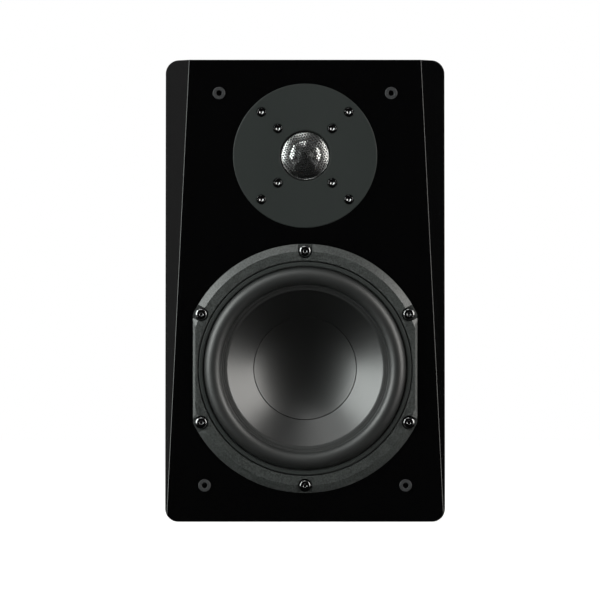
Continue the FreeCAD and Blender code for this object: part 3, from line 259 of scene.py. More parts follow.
def drum(name, radius, low, high, steps=144):
    """A round bar about Z between two heights."""
    bpy.ops.mesh.primitive_cylinder_add(
        vertices=steps, radius=radius, depth=high - low, location=(0, 0, (low + high) / 2)
    )
    piece = bpy.context.object
    piece.name = name
    return settle(piece)


def edit_mesh():
    bpy.ops.object.mode_set(mode="EDIT")


def leave_mesh():
    bpy.ops.object.mode_set(mode="OBJECT")


def take_all():
    bpy.ops.mesh.select_all(action="SELECT")


def slice_off(point, normal):
    """In edit mode, cuts off what lies beyond a plane and closes the cut."""
    take_all()
    bpy.ops.mesh.bisect(plane_co=point, plane_no=normal, use_fill=True, clear_outer=True)


def weld(reach):
    """In edit mode, merges corners that lie within a reach of each other."""
    take_all()
    bpy.ops.mesh.remove_doubles(threshold=reach)


def pick(piece, kind, wanted):
    """In edit mode, selects the corners, edges or faces of a piece that answer a test."""
    bpy.ops.mesh.select_mode(type=kind)
    bpy.ops.mesh.select_all(action="DESELECT")
    mesh = bmesh.from_edit_mesh(piece.data)
    mesh.normal_update()
    for part in {"VERT": mesh.verts, "EDGE": mesh.edges, "FACE": mesh.faces}[kind]:
        if wanted(part):
            part.select_set(True)
    bmesh.update_edit_mesh(piece.data)


def polish(piece, crease=30):
    """Shades a piece smooth up to an angle, with the flat faces keeping true normals."""
    select_only(piece)
    bpy.ops.object.shade_smooth_by_angle(angle=radians(crease))
    shaped(piece, "WEIGHTED_NORMAL", keep_sharp=True)


def face_front(piece, height):
    """Turns a piece made about Z to look out of the baffle, at a height above the underside."""
    piece.rotation_euler = (pi / 2, 0, 0)
    piece.location = (0, front, height)
    return settle(piece)


def coat(piece, *materials):
    """Gives a piece its materials, in place of any it has."""
    piece.data.materials.clear()
    for material in materials:
        piece.data.materials.append(material)


def finish_material(name, **values):
    """A material with a Principled shader, and that shader's plain values set."""
    made = bpy.data.materials.new(name)
    made.use_nodes = True
    shader = made.node_tree.nodes["Principled BSDF"]
    for socket, value in values.items():
        shader.inputs[socket.replace("_", " ")].default_value = value
    return made, made.node_tree, shader


def coloured(tree, shader, mask, dark, light):
    """Takes a shader's colour from dark to light by a mask."""
    tint = add_node(tree, "ShaderNodeValToRGB", {"Fac": mask})
    for end, colour in zip(tint.color_ramp.elements, (dark, light)):
        end.color = (*colour, 1)
    tree.links.new(tint.outputs["Color"], shader.inputs["Base Color"])


def ranged(tree, mask, start, end, low, high):
    """A value that goes from low to high while a mask goes from start to end."""
    limits = {"From Min": start, "From Max": end, "To Min": low, "To Max": high}
    return add_node(tree, "ShaderNodeMapRange", {"Value": mask, **limits}).outputs[0]


def glossed(tree, shader, mask, low, high, start=0.3, end=0.7):
    """Takes a shader's roughness from low to high while a mask goes from start to end."""
    gloss = ranged(tree, mask, start, end, low, high)
    tree.links.new(gloss, shader.inputs["Roughness"])


def bumped(tree, shader, height, strength, depth):
    """Raises a shader's surface by a height mask, to a depth in millimetres."""
    relief = add_node(
        tree, "ShaderNodeBump", {"Height": height, "Strength": strength, "Distance": depth * mm}
    )
    tree.links.new(relief.outputs[0], shader.inputs["Normal"])


def noise(tree, place, scale, detail, roughness=0.5):
    """The mask of a noise texture."""
    texture = add_node(
        tree,
        "ShaderNodeTexNoise",
        {"Vector": place, "Scale": scale, "Detail": detail, "Roughness": roughness},
    )
    return texture.outputs["Fac"]


def new_group(name, inputs, outputs):
    """An empty shader group with named inputs, given as name: default, and named outputs."""
    group = bpy.data.node_groups.new(name, "ShaderNodeTree")
    for socket, default in inputs.items():
        made = group.interface.new_socket(socket, in_out="INPUT", socket_type="NodeSocketFloat")
        made.default_value = default
    for socket in outputs:
        group.interface.new_socket(socket, in_out="OUTPUT", socket_type="NodeSocketFloat")
    entry = add_node(group, "NodeGroupInput")
    leave = add_node(group, "NodeGroupOutput")
    return group, entry, leave


def handling_group():
    """Faint wipe marks and a little dust, as masks: Smear is broad, Dust is in small specks."""
    group, entry, leave = new_group("handling", {"Smear Scale": 14.0}, ("Smear", "Dust"))
    place = add_node(group, "ShaderNodeTexCoord")
    stretch = add_node(
        group,
        "ShaderNodeMapping",
        {"Vector": place.outputs["Object"], "Scale": (1.0, 1.0, 0.35)},
    )
    smear = noise(group, stretch.outputs[0], entry.outputs["Smear Scale"], 5.0, 0.6)
    specks = add_node(
        group, "ShaderNodeTexVoronoi", {"Vector": place.outputs["Object"], "Scale": 420.0}
    )
    dust = ranged(group, specks.outputs["Distance"], 0.0, 0.09, 1.0, 0.0)
    group.links.new(smear, leave.inputs["Smear"])
    group.links.new(dust, leave.inputs["Dust"])
    return group


handling = handling_group()


def lacquer_material():
    """Polished black lacquer: mirror gloss, faint ripple from the spray, faint wipe marks."""
    made, tree, shader = finish_material(
        "polished black lacquer", Coat_Weight=1.0, Coat_Roughness=0.02
    )
    wear = add_node(tree, "ShaderNodeGroup", node_tree=handling)
    coloured(tree, shader, wear.outputs["Dust"], lacquer_black, (0.003, 0.003, 0.0031))
    glossed(tree, shader, wear.outputs["Smear"], 0.02, 0.055, 0.35, 0.75)
    place = add_node(tree, "ShaderNodeTexCoord")
    ripple = noise(tree, place.outputs["Object"], 260.0, 1.0)
    bumped(tree, shader, ripple, 0.06, 0.02)
    return made


def board_material():
    """Bare fibreboard: pale brown, with fine fibres and a dusty, matt face."""
    made, tree, shader = finish_material("bare fibreboard", Roughness=0.9)
    place = add_node(tree, "ShaderNodeTexCoord")
    fibres = noise(tree, place.outputs["Object"], 900.0, 6.0, 0.7)
    coloured(tree, shader, fibres, (0.16, 0.09, 0.045), (0.36, 0.23, 0.13))
    bumped(tree, shader, fibres, 0.3, 0.1)
    return made


lacquer = lacquer_material()
bare_board = board_material()


def facet_plane(side):
    """A point on one front edge's facet, and its outward normal: side is -1 left, +1 right."""
    rise = baffle_high.z - baffle_low.z
    top = Vector((side * (baffle_high.x - facet_top), front, baffle_high.z))
    foot = Vector((side * (baffle_high.x - facet_foot), front, baffle_low.z))
    back = Vector((side * 1.0, facet_slope, 0))
    normal = (foot - top).cross(back).normalized()
    if normal.x * side < 0:
        normal = -normal
    return top, normal


def woofer_outline(name, radius, flat, low, high):
    """A round bar about Z with its left and right sides cut straight."""
    bar = drum(name, radius, low, high, 192)
    edit_mesh()
    for side in (-1, 1):
        slice_off((side * flat, 0, 0), (side, 0, 0))
    leave_mesh()
    return bar


def lacquered_body():
    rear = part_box("cabinet_top")[1].y
    body = block(
        "cabinet_body", (baffle_low.x, front, baffle_low.z), (baffle_high.x, rear, baffle_high.z)
    )
    edit_mesh()
    middle = baffle_high.z / 2
    pick(
        body,
        "EDGE",
        lambda edge: abs(edge.verts[0].co.y - edge.verts[1].co.y) > wall
        and all(abs(v.co.x) > wall and abs(v.co.z - middle) > wall for v in edge.verts),
    )
    bpy.ops.mesh.bevel(offset=corner_radius, segments=14, affect="EDGES")
    for side in (-1, 1):
        slice_off(*facet_plane(side))
    take_all()
    bpy.ops.mesh.normals_make_consistent(inside=False)
    leave_mesh()
    shaped(body, "BEVEL", width=edge_softness, segments=4, angle_limit=radians(12))
    hollow = block(
        "hollow",
        (baffle_low.x + wall, front + baffle_depth, wall),
        (baffle_high.x - wall, rear + wall, baffle_high.z - wall),
    )
    cut_with(body, hollow)
    recess = woofer_outline("woofer recess", woofer_recess, woofer_recess_flat, -clear, clear)
    cut_with(body, face_front(recess, woofer_height))
    hole = drum("woofer hole", woofer_hole, -driver_depth, clear)
    cut_with(body, face_front(hole, woofer_height))
    recess = drum(
        "tweeter recess", tweeter_recess, -tweeter_recess_depth, tweeter_recess_depth, 192
    )
    cut_with(body, face_front(recess, tweeter_height))
    hole = drum("tweeter hole", tweeter_hole, -driver_depth, clear)
    cut_with(body, face_front(hole, tweeter_height))
    for x, height in socket_places():
        hole = face_front(drum("socket hole", socket_hole, -socket_depth, clear, 48), height)
        hole.location.x = x
        cut_with(body, settle(hole))
    polish(body)
    coat(body, lacquer, bare_board)
    inner_x, inner_top = baffle_high.x - wall, baffle_high.z - wall
    for face in body.data.polygons:
        middle = face.center
        if (
            abs(middle.x) < inner_x + hair
            and front + lacquered_lip < middle.y < rear - hair
            and wall - hair < middle.z < inner_top + hair
        ):
            face.material_index = 1
    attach(body, "root")
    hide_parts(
        "front_baffle",
        "cabinet_side_left",
        "cabinet_side_right",
        "cabinet_top",
        "cabinet_bottom",
    )


def socket_places():
    """Where the four grille sockets are, as (x, height), from the box that holds all four."""
    low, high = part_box("grille_sockets")
    foot_x = high.x - socket_rim
    top_x = foot_x - socket_step
    top_z, foot_z = high.z - socket_rim, low.z + socket_rim
    return [(-top_x, top_z), (top_x, top_z), (-foot_x, foot_z), (foot_x, foot_z)]


lacquered_body()


# ---------------- woofer frame
# A cast alloy frame, turned on its rim, cut straight at the left and right, and sprayed with a
# fine dark grey texture. Six button-head screws in open seats hold it in the baffle's recess.

woofer_flat, side_bevel = 81.3, 1.9
seat_half, seat_reach, shank_hole = 5.2, 14, 2.6
seat_floor = 0.6
woofer_screws = [(0, 85), (75.2, 39.3), (75.2, -39.3), (0, -85), (-75.2, -39.3), (-75.2, 39.3)]
frame_outline = [
    (90.3, -4, 0.3), (90.3, 0.6, 0.25), (84.9, 3.6, 0.5), (78.15, 3.6, 0.3), (78.15, 0.4),
    (72.4, 0.4, 0.3), (71.2, -10, 2), (55, -35, 1), (55, -38), (49.5, -38, 0.6), (49.5, -43),
    (36, -43, 1), (36, -46, 0.5), (58.5, -46, 1.5), (58.5, -36.5, 1), (73.6, -12.5, 2),
    (73.6, -4, 1),
]


def eased(outline, steps=5):
    """An outline's (radius, height) points. A corner with a third value is rounded by it."""
    soft = []
    for at, corner in enumerate(outline):
        here = Vector(corner[:2])
        if len(corner) < 3:
            soft.append(here)
            continue
        before = Vector(outline[at - 1][:2]) - here
        after = Vector(outline[(at + 1) % len(outline)][:2]) - here
        half = before.angle(after) / 2
        reach = min(corner[2] / tan(half), 0.48 * before.length, 0.48 * after.length)
        bisector = (before.normalized() + after.normalized()).normalized()
        middle = here + bisector * reach / cos(half)
        first = here + before.normalized() * reach - middle
        last = here + after.normalized() * reach - middle
        for step in range(steps + 1):
            share = step / steps
            sweep = first.lerp(last, share).normalized() * first.length
            soft.append(middle + sweep)
    return soft


def arc(across, up, radius, start, end, steps=20):
    """Points on an arc about a centre, between two angles in degrees."""
    turns = [radians(start + (end - start) * step / steps) for step in range(steps + 1)]
    return [(across + radius * cos(turn), up + radius * sin(turn)) for turn in turns]


def turned(name, outline, steps=176):
    """A solid of revolution about Z, from its outline in millimetres, without holes."""
    points = [point * mm for point in eased(outline)]
    bpy.ops.object.select_all(action="DESELECT")
    bpy.ops.mesh.primitive_plane_add(size=2 * mm)
    piece = bpy.context.object
    piece.name = name
    edit_mesh()
    bpy.ops.mesh.select_mode(type="VERT")
    bpy.ops.mesh.merge(type="CENTER")
    bpy.ops.transform.translate(value=(points[0].x, 0, points[0].y))
    for here, after in zip(points, points[1:] + points[:1]):
        step = (after.x - here.x, 0, after.y - here.y)
        bpy.ops.mesh.extrude_vertices_move(TRANSFORM_OT_translate={"value": step})
    weld(1e-7)
    take_all()
    bpy.ops.mesh.spin(steps=steps, angle=2 * pi, center=(0, 0, 0), axis=(0, 0, 1))
    weld(1e-6)
    take_all()
    bpy.ops.mesh.normals_make_consistent(inside=False)
    leave_mesh()
    return piece


def joined(pieces):
    """Several pieces made one object."""
    bpy.ops.object.select_all(action="DESELECT")
    for piece in pieces:
        piece.select_set(True)
    bpy.context.view_layer.objects.active = pieces[0]
    if len(pieces) > 1:
        bpy.ops.object.join()
    return pieces[0]


def spots(places, height=0):
    """Places in millimetres across and up a face, as points at one height."""
    return [(x * mm, y * mm, height * mm) for x, y in places]


def spread(model, places, turn=None):
    """Copies of a model at each (x, y, z) place, joined to one piece. The model is used up."""
    made = []
    for at, spot in enumerate(places):
        twin = model.copy()
        twin.data = model.data.copy()
        bpy.context.collection.objects.link(twin)
        twin.location = spot
        if turn:
            twin.rotation_euler = (0, 0, turn(at))
        made.append(settle(twin))
    name = model.name
    bpy.data.objects.remove(model)
    whole = joined(made)
    whole.name = name
    return whole


def grain_group():
    """Fine sprayed texture: Height for bumps, Speckle for the grains that catch the light."""
    group, entry, leave = new_group("fine grain", {"Grain Scale": 1500.0}, ("Height", "Speckle"))
    place = add_node(group, "ShaderNodeTexCoord")
    grain = noise(group, place.outputs["Object"], entry.outputs["Grain Scale"], 3.0, 0.65)
    broad = noise(group, place.outputs["Object"], 60.0, 4.0)
    height = maths(group, "MULTIPLY", grain, broad)
    group.links.new(height, leave.inputs["Height"])
    group.links.new(ranged(group, grain, 0.38, 0.66, 0.0, 1.0), leave.inputs["Speckle"])
    return group


fine_grain = grain_group()


def grained_material(
    name, dark, light, roughness, scale=1500.0, strength=0.5, depth=0.06, **values
):
    """A sprayed or moulded surface of two near colours with fine texture and some dust."""
    made, tree, shader = finish_material(name, **values)
    grain = add_node(tree, "ShaderNodeGroup", {"Grain Scale": scale}, node_tree=fine_grain)
    wear = add_node(tree, "ShaderNodeGroup", node_tree=handling)
    coloured(tree, shader, grain.outputs["Speckle"], dark, light)
    glossed(tree, shader, wear.outputs["Smear"], roughness - 0.04, roughness + 0.04)
    bumped(tree, shader, grain.outputs["Height"], strength, depth)
    return made


def finished(piece, material, body, slot, *nodes, crease=30):
    """Shades a piece, gives it its material, hangs it on its body and hides the parts it takes the place of.
    """
    polish(piece, crease)
    coat(piece, material)
    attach(piece, body)
    if nodes:
        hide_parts(*nodes)
    return piece


dark, light = (0.009, 0.011, 0.010), (0.062, 0.069, 0.066)
frame_paint = grained_material(
    "dark grey textured paint", dark, light, 0.42, 900.0, 1.0, 0.08, Specular_IOR_Level=1.0
)


def woofer_frame():
    casting = turned("woofer_frame", frame_outline)
    edit_mesh()
    for side in (-1, 1):
        slice_off((side * woofer_flat * mm, 0, 0), (side, 0, 0))
        slice_off((side * woofer_flat * mm, 0, side_bevel * mm), (side, 0, sqrt(3)))
    leave_mesh()
    seat = drum("seats", seat_half * mm, seat_floor * mm, 8 * mm, 48)
    edit_mesh()
    pick(seat, "VERT", lambda corner: corner.co.y > 1e-6)
    bpy.ops.transform.translate(value=(0, seat_reach * mm, 0))
    leave_mesh()
    turns = [atan2(y, x) - pi / 2 for x, y in woofer_screws]
    cut_with(casting, spread(seat, spots(woofer_screws), lambda at: turns[at]))
    holes = drum("holes", shank_hole * mm, -9 * mm, 4 * mm, 32)
    cut_with(casting, spread(holes, spots(woofer_screws)))
    window = block("windows", (-25 * mm, -86 * mm, -34 * mm), (25 * mm, -52 * mm, -13.5 * mm))
    window_middle = -60 * mm
    edit_mesh()
    pick(window, "VERT", lambda corner: corner.co.y > window_middle)
    bpy.ops.transform.resize(value=(19 / 25, 1, 1), center_override=(0, 0, 0))
    pick(window, "VERT", lambda corner: corner.co.y < window_middle)
    bpy.ops.transform.resize(value=(31 / 25, 1, 1), center_override=(0, 0, 0))
    leave_mesh()
    cut_with(casting, spread(window, [(0, 0, 0)] * 6, lambda at: at * pi / 3))
    face_front(casting, woofer_height)
    finished(casting, frame_paint, "root", "cast_frame", "woofer_basket")


woofer_frame()


# ---------------- trim ring
# A thin pressed alloy ring in the frame's paint. It lies in the frame's step and clamps the
# surround's flange, with a dark gap on either side.

trim_ring = turned(
    "woofer_trim_ring", [(74.2, 1.4), (77.1, 1.4), (77.1, 3.2, 0.45), (74.2, 3.2, 0.6)]
)
face_front(trim_ring, woofer_height)
trim_paint = grained_material(
    "trim ring paint", (0.019, 0.022, 0.021), (0.036, 0.041, 0.039), 0.42, 1700.0, 0.4
)
finished(trim_ring, trim_paint, "root", "trim_metal", "woofer_trim_ring")


# ---------------- surround
# A moulded rubber half roll with a flat flange outside and a stepped land inside, glued on the
# cone's rim. It flexes between the frame and the cone.

surround_outline = (
    [(77.6, 0.4), (77.6, 1.4), (73.6, 1.4, 0.3)]
    + arc(67, 1.4, 6.3, 4, 176, 30)
    + [
        (60.6, 1.35, 0.3),
        (59.2, 1.1, 0.2),
        (58.9, 0.7, 0.15),
        (58.6, 0.95, 0.15),
        (56.8, 0.5, 0.3),
        (56.8, -0.4),
        (61.6, 0.4),
    ]
    + arc(67, 1.4, 5.4, 180, 0, 24)
    + [(72.4, 0.4)]
)


def rubber_material():
    """Black moulded rubber: satin, with faint flow rings about the axis and a dusty bloom."""
    made, tree, shader = finish_material(
        "black rubber", Specular_IOR_Level=1.0, Coat_Weight=0.5, Coat_Roughness=0.5
    )
    wear = add_node(tree, "ShaderNodeGroup", {"Smear Scale": 30.0}, node_tree=handling)
    grain = add_node(tree, "ShaderNodeGroup", {"Grain Scale": 2200.0}, node_tree=fine_grain)
    coloured(
        tree, shader, wear.outputs["Smear"], (0.0060, 0.0070, 0.0067), (0.0110, 0.0125, 0.0120)
    )
    glossed(tree, shader, wear.outputs["Smear"], 0.46, 0.54)
    bumped(tree, shader, grain.outputs["Height"], 0.25, 0.03)
    return made


rubber = rubber_material()


def flexes(piece, moving, inner, outer, height):
    """Lets a round piece bend between a moving body at its inner radius and the root outside."""
    middle = Vector((0, front, height))
    start, end = middle + Vector((inner * mm, 0, 0)), middle + Vector((outer * mm, 0, 0))
    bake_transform(piece, moving, "root", start, end)
    weights = piece.data.attributes["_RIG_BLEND"]
    for corner, weight in zip(piece.data.vertices, weights.data):
        reach = hypot(corner.co.x, corner.co.z - height)
        share = min(max((reach / mm - inner) / (outer - inner), 0), 1)
        weight.value = share * share * (3 - 2 * share)


woofer_roll = face_front(turned("woofer_surround", surround_outline), woofer_height)
polish(woofer_roll)
coat(woofer_roll, rubber)
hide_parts("woofer_surround")
flexes(woofer_roll, "woofer_moving", 60.2, 73.6, woofer_height)


# ---------------- cone and cap
# Injection-moulded polymer with a satin face: a straight-sided cone, and a concave cap of the
# same polymer set in a fine groove that the glue line leaves dark.

cone_outline = [
    (60.8, 0.12), (56.5, -0.6, 1.5), (37.55, -13.7, 0.3), (37.55, -14.49), (19.3, -25.6, 0.3),
    (19.3, -26.8), (37.4, -15.69, 1), (56.5, -1.9, 1), (60.8, -0.9),
]
cap_radius, cap_curve, cap_rim, cap_middle = 37.35, 79.85, -13.72, -23.0


def cone_material():
    """Satin grey-black polymer with very fine moulding texture, and hardly any colour."""
    made, tree, shader = finish_material(
        "satin cone polymer", Specular_IOR_Level=1.0, Coat_Weight=0.6, Coat_Roughness=0.36
    )
    wear = add_node(tree, "ShaderNodeGroup", {"Smear Scale": 24.0}, node_tree=handling)
    grain = add_node(tree, "ShaderNodeGroup", {"Grain Scale": 2600.0}, node_tree=fine_grain)
    coloured(
        tree, shader, wear.outputs["Smear"], (0.0030, 0.0033, 0.0032), (0.0050, 0.0054, 0.0053)
    )
    glossed(tree, shader, wear.outputs["Smear"], 0.38, 0.41)
    bumped(tree, shader, grain.outputs["Height"], 0.12, 0.02)
    return made


satin_polymer = cone_material()
cone = face_front(turned("woofer_cone", cone_outline), woofer_height)
finished(cone, satin_polymer, "woofer_moving", "cone_polymer", "woofer_cone")

cap_spread = degrees(asin(cap_radius / cap_curve))
cap_face = arc(0, cap_middle + cap_curve, cap_curve, -90, cap_spread - 90.25, 28)
cap_back = arc(0, cap_middle + cap_curve, cap_curve + 0.7, cap_spread - 90.25, -90, 12)
cap_face[0], cap_back[-1] = (0, cap_middle), (0, cap_middle - 0.7)
cap = turned("woofer_dust_cap", cap_face + [(cap_radius, cap_rim - 0.35)] + cap_back)
face_front(cap, woofer_height)
finished(cap, satin_polymer, "woofer_moving", "cone_polymer", "woofer_dust_cap")


# ---------------- woofer screws
# Button-head machine screws with hexagon sockets, in polished black oxide, at the frame's six
# seats.


def screw_model(name, head_radius, head_height, shank_radius, length, key, crown=0.5, rim=0):
    """A button-head screw about Z, with its seat at 0 and its head above."""
    dome = [
        (
            head_radius * (1 - crown + crown * cos(t)),
            head_height * (0.25 + 0.75 * sin(t)),
        )
        for t in (pi / 2 * step / 10 for step in range(11))
    ]
    outline = [
        (0, -length),
        (shank_radius * 0.4, -length),
        (shank_radius, 1.5 * shank_radius - length),
        (shank_radius, 0),
        (head_radius, 0, 0.15),
        *dome,
        (0, head_height),
    ]
    screw = turned(name, outline, 48)
    bpy.ops.mesh.primitive_cylinder_add(
        vertices=6,
        radius=key / sqrt(3) * mm,
        depth=2 * head_height * mm,
        location=(0, 0, 1.4 * head_height * mm),
    )
    cut_with(screw, settle(bpy.context.object))
    cones = []
    if rim:
        rim_radius = (key / sqrt(3) + rim) * mm
        middle = head_height * mm - 0.34 * rim_radius + 0.01 * mm
        cones.append((48, rim_radius, 0.68 * rim_radius, middle))
    floor_radius = 0.49 * key * mm
    middle = 0.4 * head_height * mm - 0.29 * floor_radius
    cones.append((32, floor_radius, 0.6 * floor_radius, middle))
    for steps, radius, depth, middle in cones:
        bpy.ops.mesh.primitive_cone_add(
            vertices=steps, radius1=0, radius2=radius, depth=depth, location=(0, 0, middle)
        )
        cut_with(screw, settle(bpy.context.object))
    return screw


def oxide_material():
    """Polished black oxide on steel: glossy and dark, with fine turning marks."""
    made, tree, shader = finish_material("black oxide", Metallic=1.0)
    wear = add_node(tree, "ShaderNodeGroup", {"Smear Scale": 160.0}, node_tree=handling)
    coloured(tree, shader, wear.outputs["Smear"], (0.20, 0.20, 0.20), (0.32, 0.32, 0.325))
    glossed(tree, shader, wear.outputs["Smear"], 0.10, 0.17)
    return made


black_oxide = oxide_material()
woofer_fixings = spread(
    screw_model("woofer_screws", 4.55, 2.8, 2.4, 20, 3),
    spots(woofer_screws, seat_floor),
    lambda at: 0.35 + 1.3 * at,
)
face_front(woofer_fixings, woofer_height)
finished(woofer_fixings, black_oxide, "root", "black_screws", "woofer_screws")


# ---------------- tweeter plate
# A machined alloy faceplate with a thin bright-edged rim, painted matt dark grey. Its stepped
# mouth takes the guard, and eight counterbored seats take the screws.

tweeter_mounts = [(31.7, 31.7), (-31.7, 31.7), (-31.7, -31.7), (31.7, -31.7)]
motor_mounts = [(19.7, 19.7), (-19.7, 19.7), (-19.7, -19.7), (19.7, -19.7)]
screw_floor = -2
plate_outline = [
    (52.3, -3.4), (52.3, 0.3, 0.6), (18.75, 0.3, 0.15), (18.4, -0.05, 0.1), (18.4, -1.8),
    (16.8, -1.8, 0.3), (16.2, -6), (33, -6, 1), (33, -3.4),
]
dark, light = (0.0140, 0.0180, 0.0167), (0.0215, 0.0265, 0.0247)
plate_paint = grained_material("matt grey plate paint", dark, light, 0.5, 1700.0, 0.5, 0.05)
faceplate = turned("tweeter_faceplate", plate_outline)
seats = spots(tweeter_mounts + motor_mounts)
cut_with(faceplate, spread(drum("seats", 3.7 * mm, screw_floor * mm, 2 * mm, 48), seats))
cut_with(faceplate, spread(drum("holes", 2.05 * mm, -8 * mm, 0, 32), seats))
shaped(faceplate, "BEVEL", width=0.12 * mm, segments=2, angle_limit=radians(50))
face_front(faceplate, tweeter_height)
finished(faceplate, plate_paint, "root", "faceplate_paint", "tweeter_faceplate")


# ---------------- tweeter guard
# A sheet perforated with staggered round holes, pressed to a shallow dome with a flat rim and
# set in the faceplate's mouth. It is sprayed thin satin black, so that the webs shine.

guard_pitch, guard_hole, guard_turn = 1.94, 0.72, 11
guard_foot, guard_apex, guard_sheet = 17.1, 3.2, 0.45
guard_curve = (guard_foot**2 + (guard_apex + 1.2) ** 2) / (2 * (guard_apex + 1.2))


def perforated_sheet():
    """A honeycomb of cells, each with a round hole, cut to a disc and pressed over a ball."""
    bpy.ops.mesh.primitive_circle_add(
        vertices=6, radius=guard_pitch / sqrt(3) * mm, fill_type="NGON", rotation=(0, 0, pi / 6)
    )
    sheet = settle(bpy.context.object)
    sheet.name = "tweeter_guard"
    edit_mesh()
    take_all()
    bpy.ops.mesh.subdivide(number_cuts=1)
    take_all()
    bpy.ops.mesh.inset(thickness=0.25 * mm, depth=0)
    bpy.ops.transform.tosphere(value=1)
    bpy.ops.mesh.select_mode(type="VERT")
    inner = [v.co.length for v in bmesh.from_edit_mesh(sheet.data).verts if v.select]
    size = guard_hole * mm / (sum(inner) / len(inner))
    bpy.ops.transform.resize(value=(size, size, 1))
    bpy.ops.mesh.select_mode(type="FACE")
    bpy.ops.mesh.delete(type="FACE")
    leave_mesh()
    rows = 23
    step_x, step_y = guard_pitch * mm, guard_pitch * sqrt(3) / 2 * mm
    for count, way in ((rows, (step_x, 0, 0)), (rows, (step_x / 2, step_y, 0))):
        shaped(
            sheet,
            "ARRAY",
            count=count,
            use_relative_offset=False,
            use_constant_offset=True,
            constant_offset_displace=way,
            use_merge_vertices=True,
            merge_threshold=0.02 * mm,
        )
    sheet.location = -Vector((step_x * 1.5 * (rows - 1) / 2, step_y * (rows - 1) / 2, 0))
    settle(sheet)
    sheet.rotation_euler.z = radians(guard_turn)
    settle(sheet)
    edit_mesh()
    weld(0.02 * mm)
    edge = (guard_foot + 0.25) * mm
    pick(sheet, "FACE", lambda face: face.calc_center_median().xy.length > edge)
    bpy.ops.mesh.delete(type="FACE")
    leave_mesh()
    bpy.ops.mesh.primitive_uv_sphere_add(
        segments=256,
        ring_count=256,
        radius=guard_curve * mm,
        location=(0, 0, (guard_apex - guard_curve) * mm),
    )
    ball = bpy.context.object
    sheet.location.z = 8 * mm
    settle(sheet)
    shaped(
        sheet,
        "SHRINKWRAP",
        target=ball,
        wrap_method="PROJECT",
        use_project_z=True,
        use_negative_direction=True,
        use_positive_direction=False,
    )
    bpy.data.objects.remove(ball)
    shaped(sheet, "SOLIDIFY", thickness=guard_sheet * mm, offset=-1)
    return sheet


guard_rim = turned(
    "guard rim",
    [(16.9, -1.7), (18.1, -1.7), (18.1, -1.2, 0.2), (17.2, -1.15, 0.1), (16.9, -1.3)],
)
guard = joined([perforated_sheet(), guard_rim])
face_front(guard, tweeter_height)
dark, light = (0.48, 0.485, 0.48), (0.62, 0.625, 0.62)
mesh_paint = grained_material(
    "satin mesh paint", dark, light, 0.25, 3000.0, 0.15, 0.01, Metallic=1.0
)
finished(guard, mesh_paint, "root", "guard_mesh", "tweeter_guard")


# ---------------- tweeter dome
# A dome pressed from thin aluminium sheet, bare and bright, on a soft cloth half roll.

dome_apex, dome_foot = -1.4, -6.2
dome_sheet = 0.25
dome_slopes = [(0, 0), (6.6, 26), (11.2, 32), (12.0, 44), (12.6, 66)]
slope_steps, dome_draw = 8, 0.02
dome_face, drop = [(0.0, dome_apex)], 0.0
for (start, shallow), (end, steep) in zip(dome_slopes, dome_slopes[1:]):
    for step in range(slope_steps):
        share = (step + 0.5) / slope_steps
        reach = (end - start) / slope_steps
        drop += reach * tan(radians(shallow + (steep - shallow) * share))
        dome_face.append((start + reach * (step + 1), dome_apex - drop))
squeeze = (dome_apex - dome_foot) / drop
dome_face = [(r, dome_apex - (dome_apex - z) * squeeze) for r, z in dome_face]
dome_back = [
    (r - dome_draw * r, z - dome_sheet) for r, z in dome_face if z - dome_sheet > dome_foot
]
dome_back += [(12.35, dome_foot)]
dome = turned("tweeter_dome", dome_face[::-1] + dome_back, 96)
face_front(dome, tweeter_height)


def metal_material(name, colour, low, high, scale=220.0, **values):
    """Bare or plated metal with faint drawing marks, a little duller where it was handled."""
    made, tree, shader = finish_material(name, Metallic=1.0, **values)
    wear = add_node(tree, "ShaderNodeGroup", {"Smear Scale": scale}, node_tree=handling)
    coloured(tree, shader, wear.outputs["Smear"], [0.86 * part for part in colour], colour)
    glossed(tree, shader, wear.outputs["Smear"], low, high)
    bumped(tree, shader, wear.outputs["Smear"], 0.1, 0.01)
    return made


bright_aluminium = metal_material("bright aluminium", (0.91, 0.92, 0.92), 0.11, 0.15)
finished(dome, bright_aluminium, "tweeter_moving", "dome_metal", "tweeter_dome")

roll_outline = (
    [(18.6, -6.6), (18.6, -6.1), (16.0, -6.1, 0.1)]
    + arc(14.4, -6.1, 1.3, 5, 175, 16)
    + [(12.65, -6.1), (12.65, -6.18), (13.05, -6.18), (13.05, -6.5), (13.3, -6.5)]
    + arc(14.4, -6.4, 1.1, 175, 5, 12)
    + [(15.5, -6.6)]
)
tweeter_roll = face_front(turned("tweeter_surround", roll_outline, 96), tweeter_height)
polish(tweeter_roll)
coated_cloth = grained_material(
    "coated tweeter cloth", (0.006, 0.006, 0.006), (0.016, 0.016, 0.016), 0.6, 1800.0, 0.8
)
coat(tweeter_roll, coated_cloth)
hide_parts("tweeter_surround")
flexes(tweeter_roll, "tweeter_moving", 13.1, 15.8, tweeter_height)


# ---------------- tweeter screws
# Eight smaller button-head screws: four hold the faceplate to the baffle, and four hold the
# motor to the faceplate.

for name, mounts, length, twist in (
    ("tweeter_mounting_screws", tweeter_mounts, 17, 0.2),
    ("tweeter_motor_screws", motor_mounts, 10.6, 0.7),
):
    fixings = spread(
        screw_model(name, 3.25, 2, 1.9, length, 2, crown=0.16, rim=0.35),
        spots(mounts, screw_floor),
        lambda at: twist + 1.7 * at,
    )
    face_front(fixings, tweeter_height)
    finished(fixings, black_oxide, "root", "black_screws", name)


# ---------------- grille sockets
# Moulded nylon cups pressed into the baffle near its corners, each with a rounded rim and a
# deep bore for a peg of the grille.

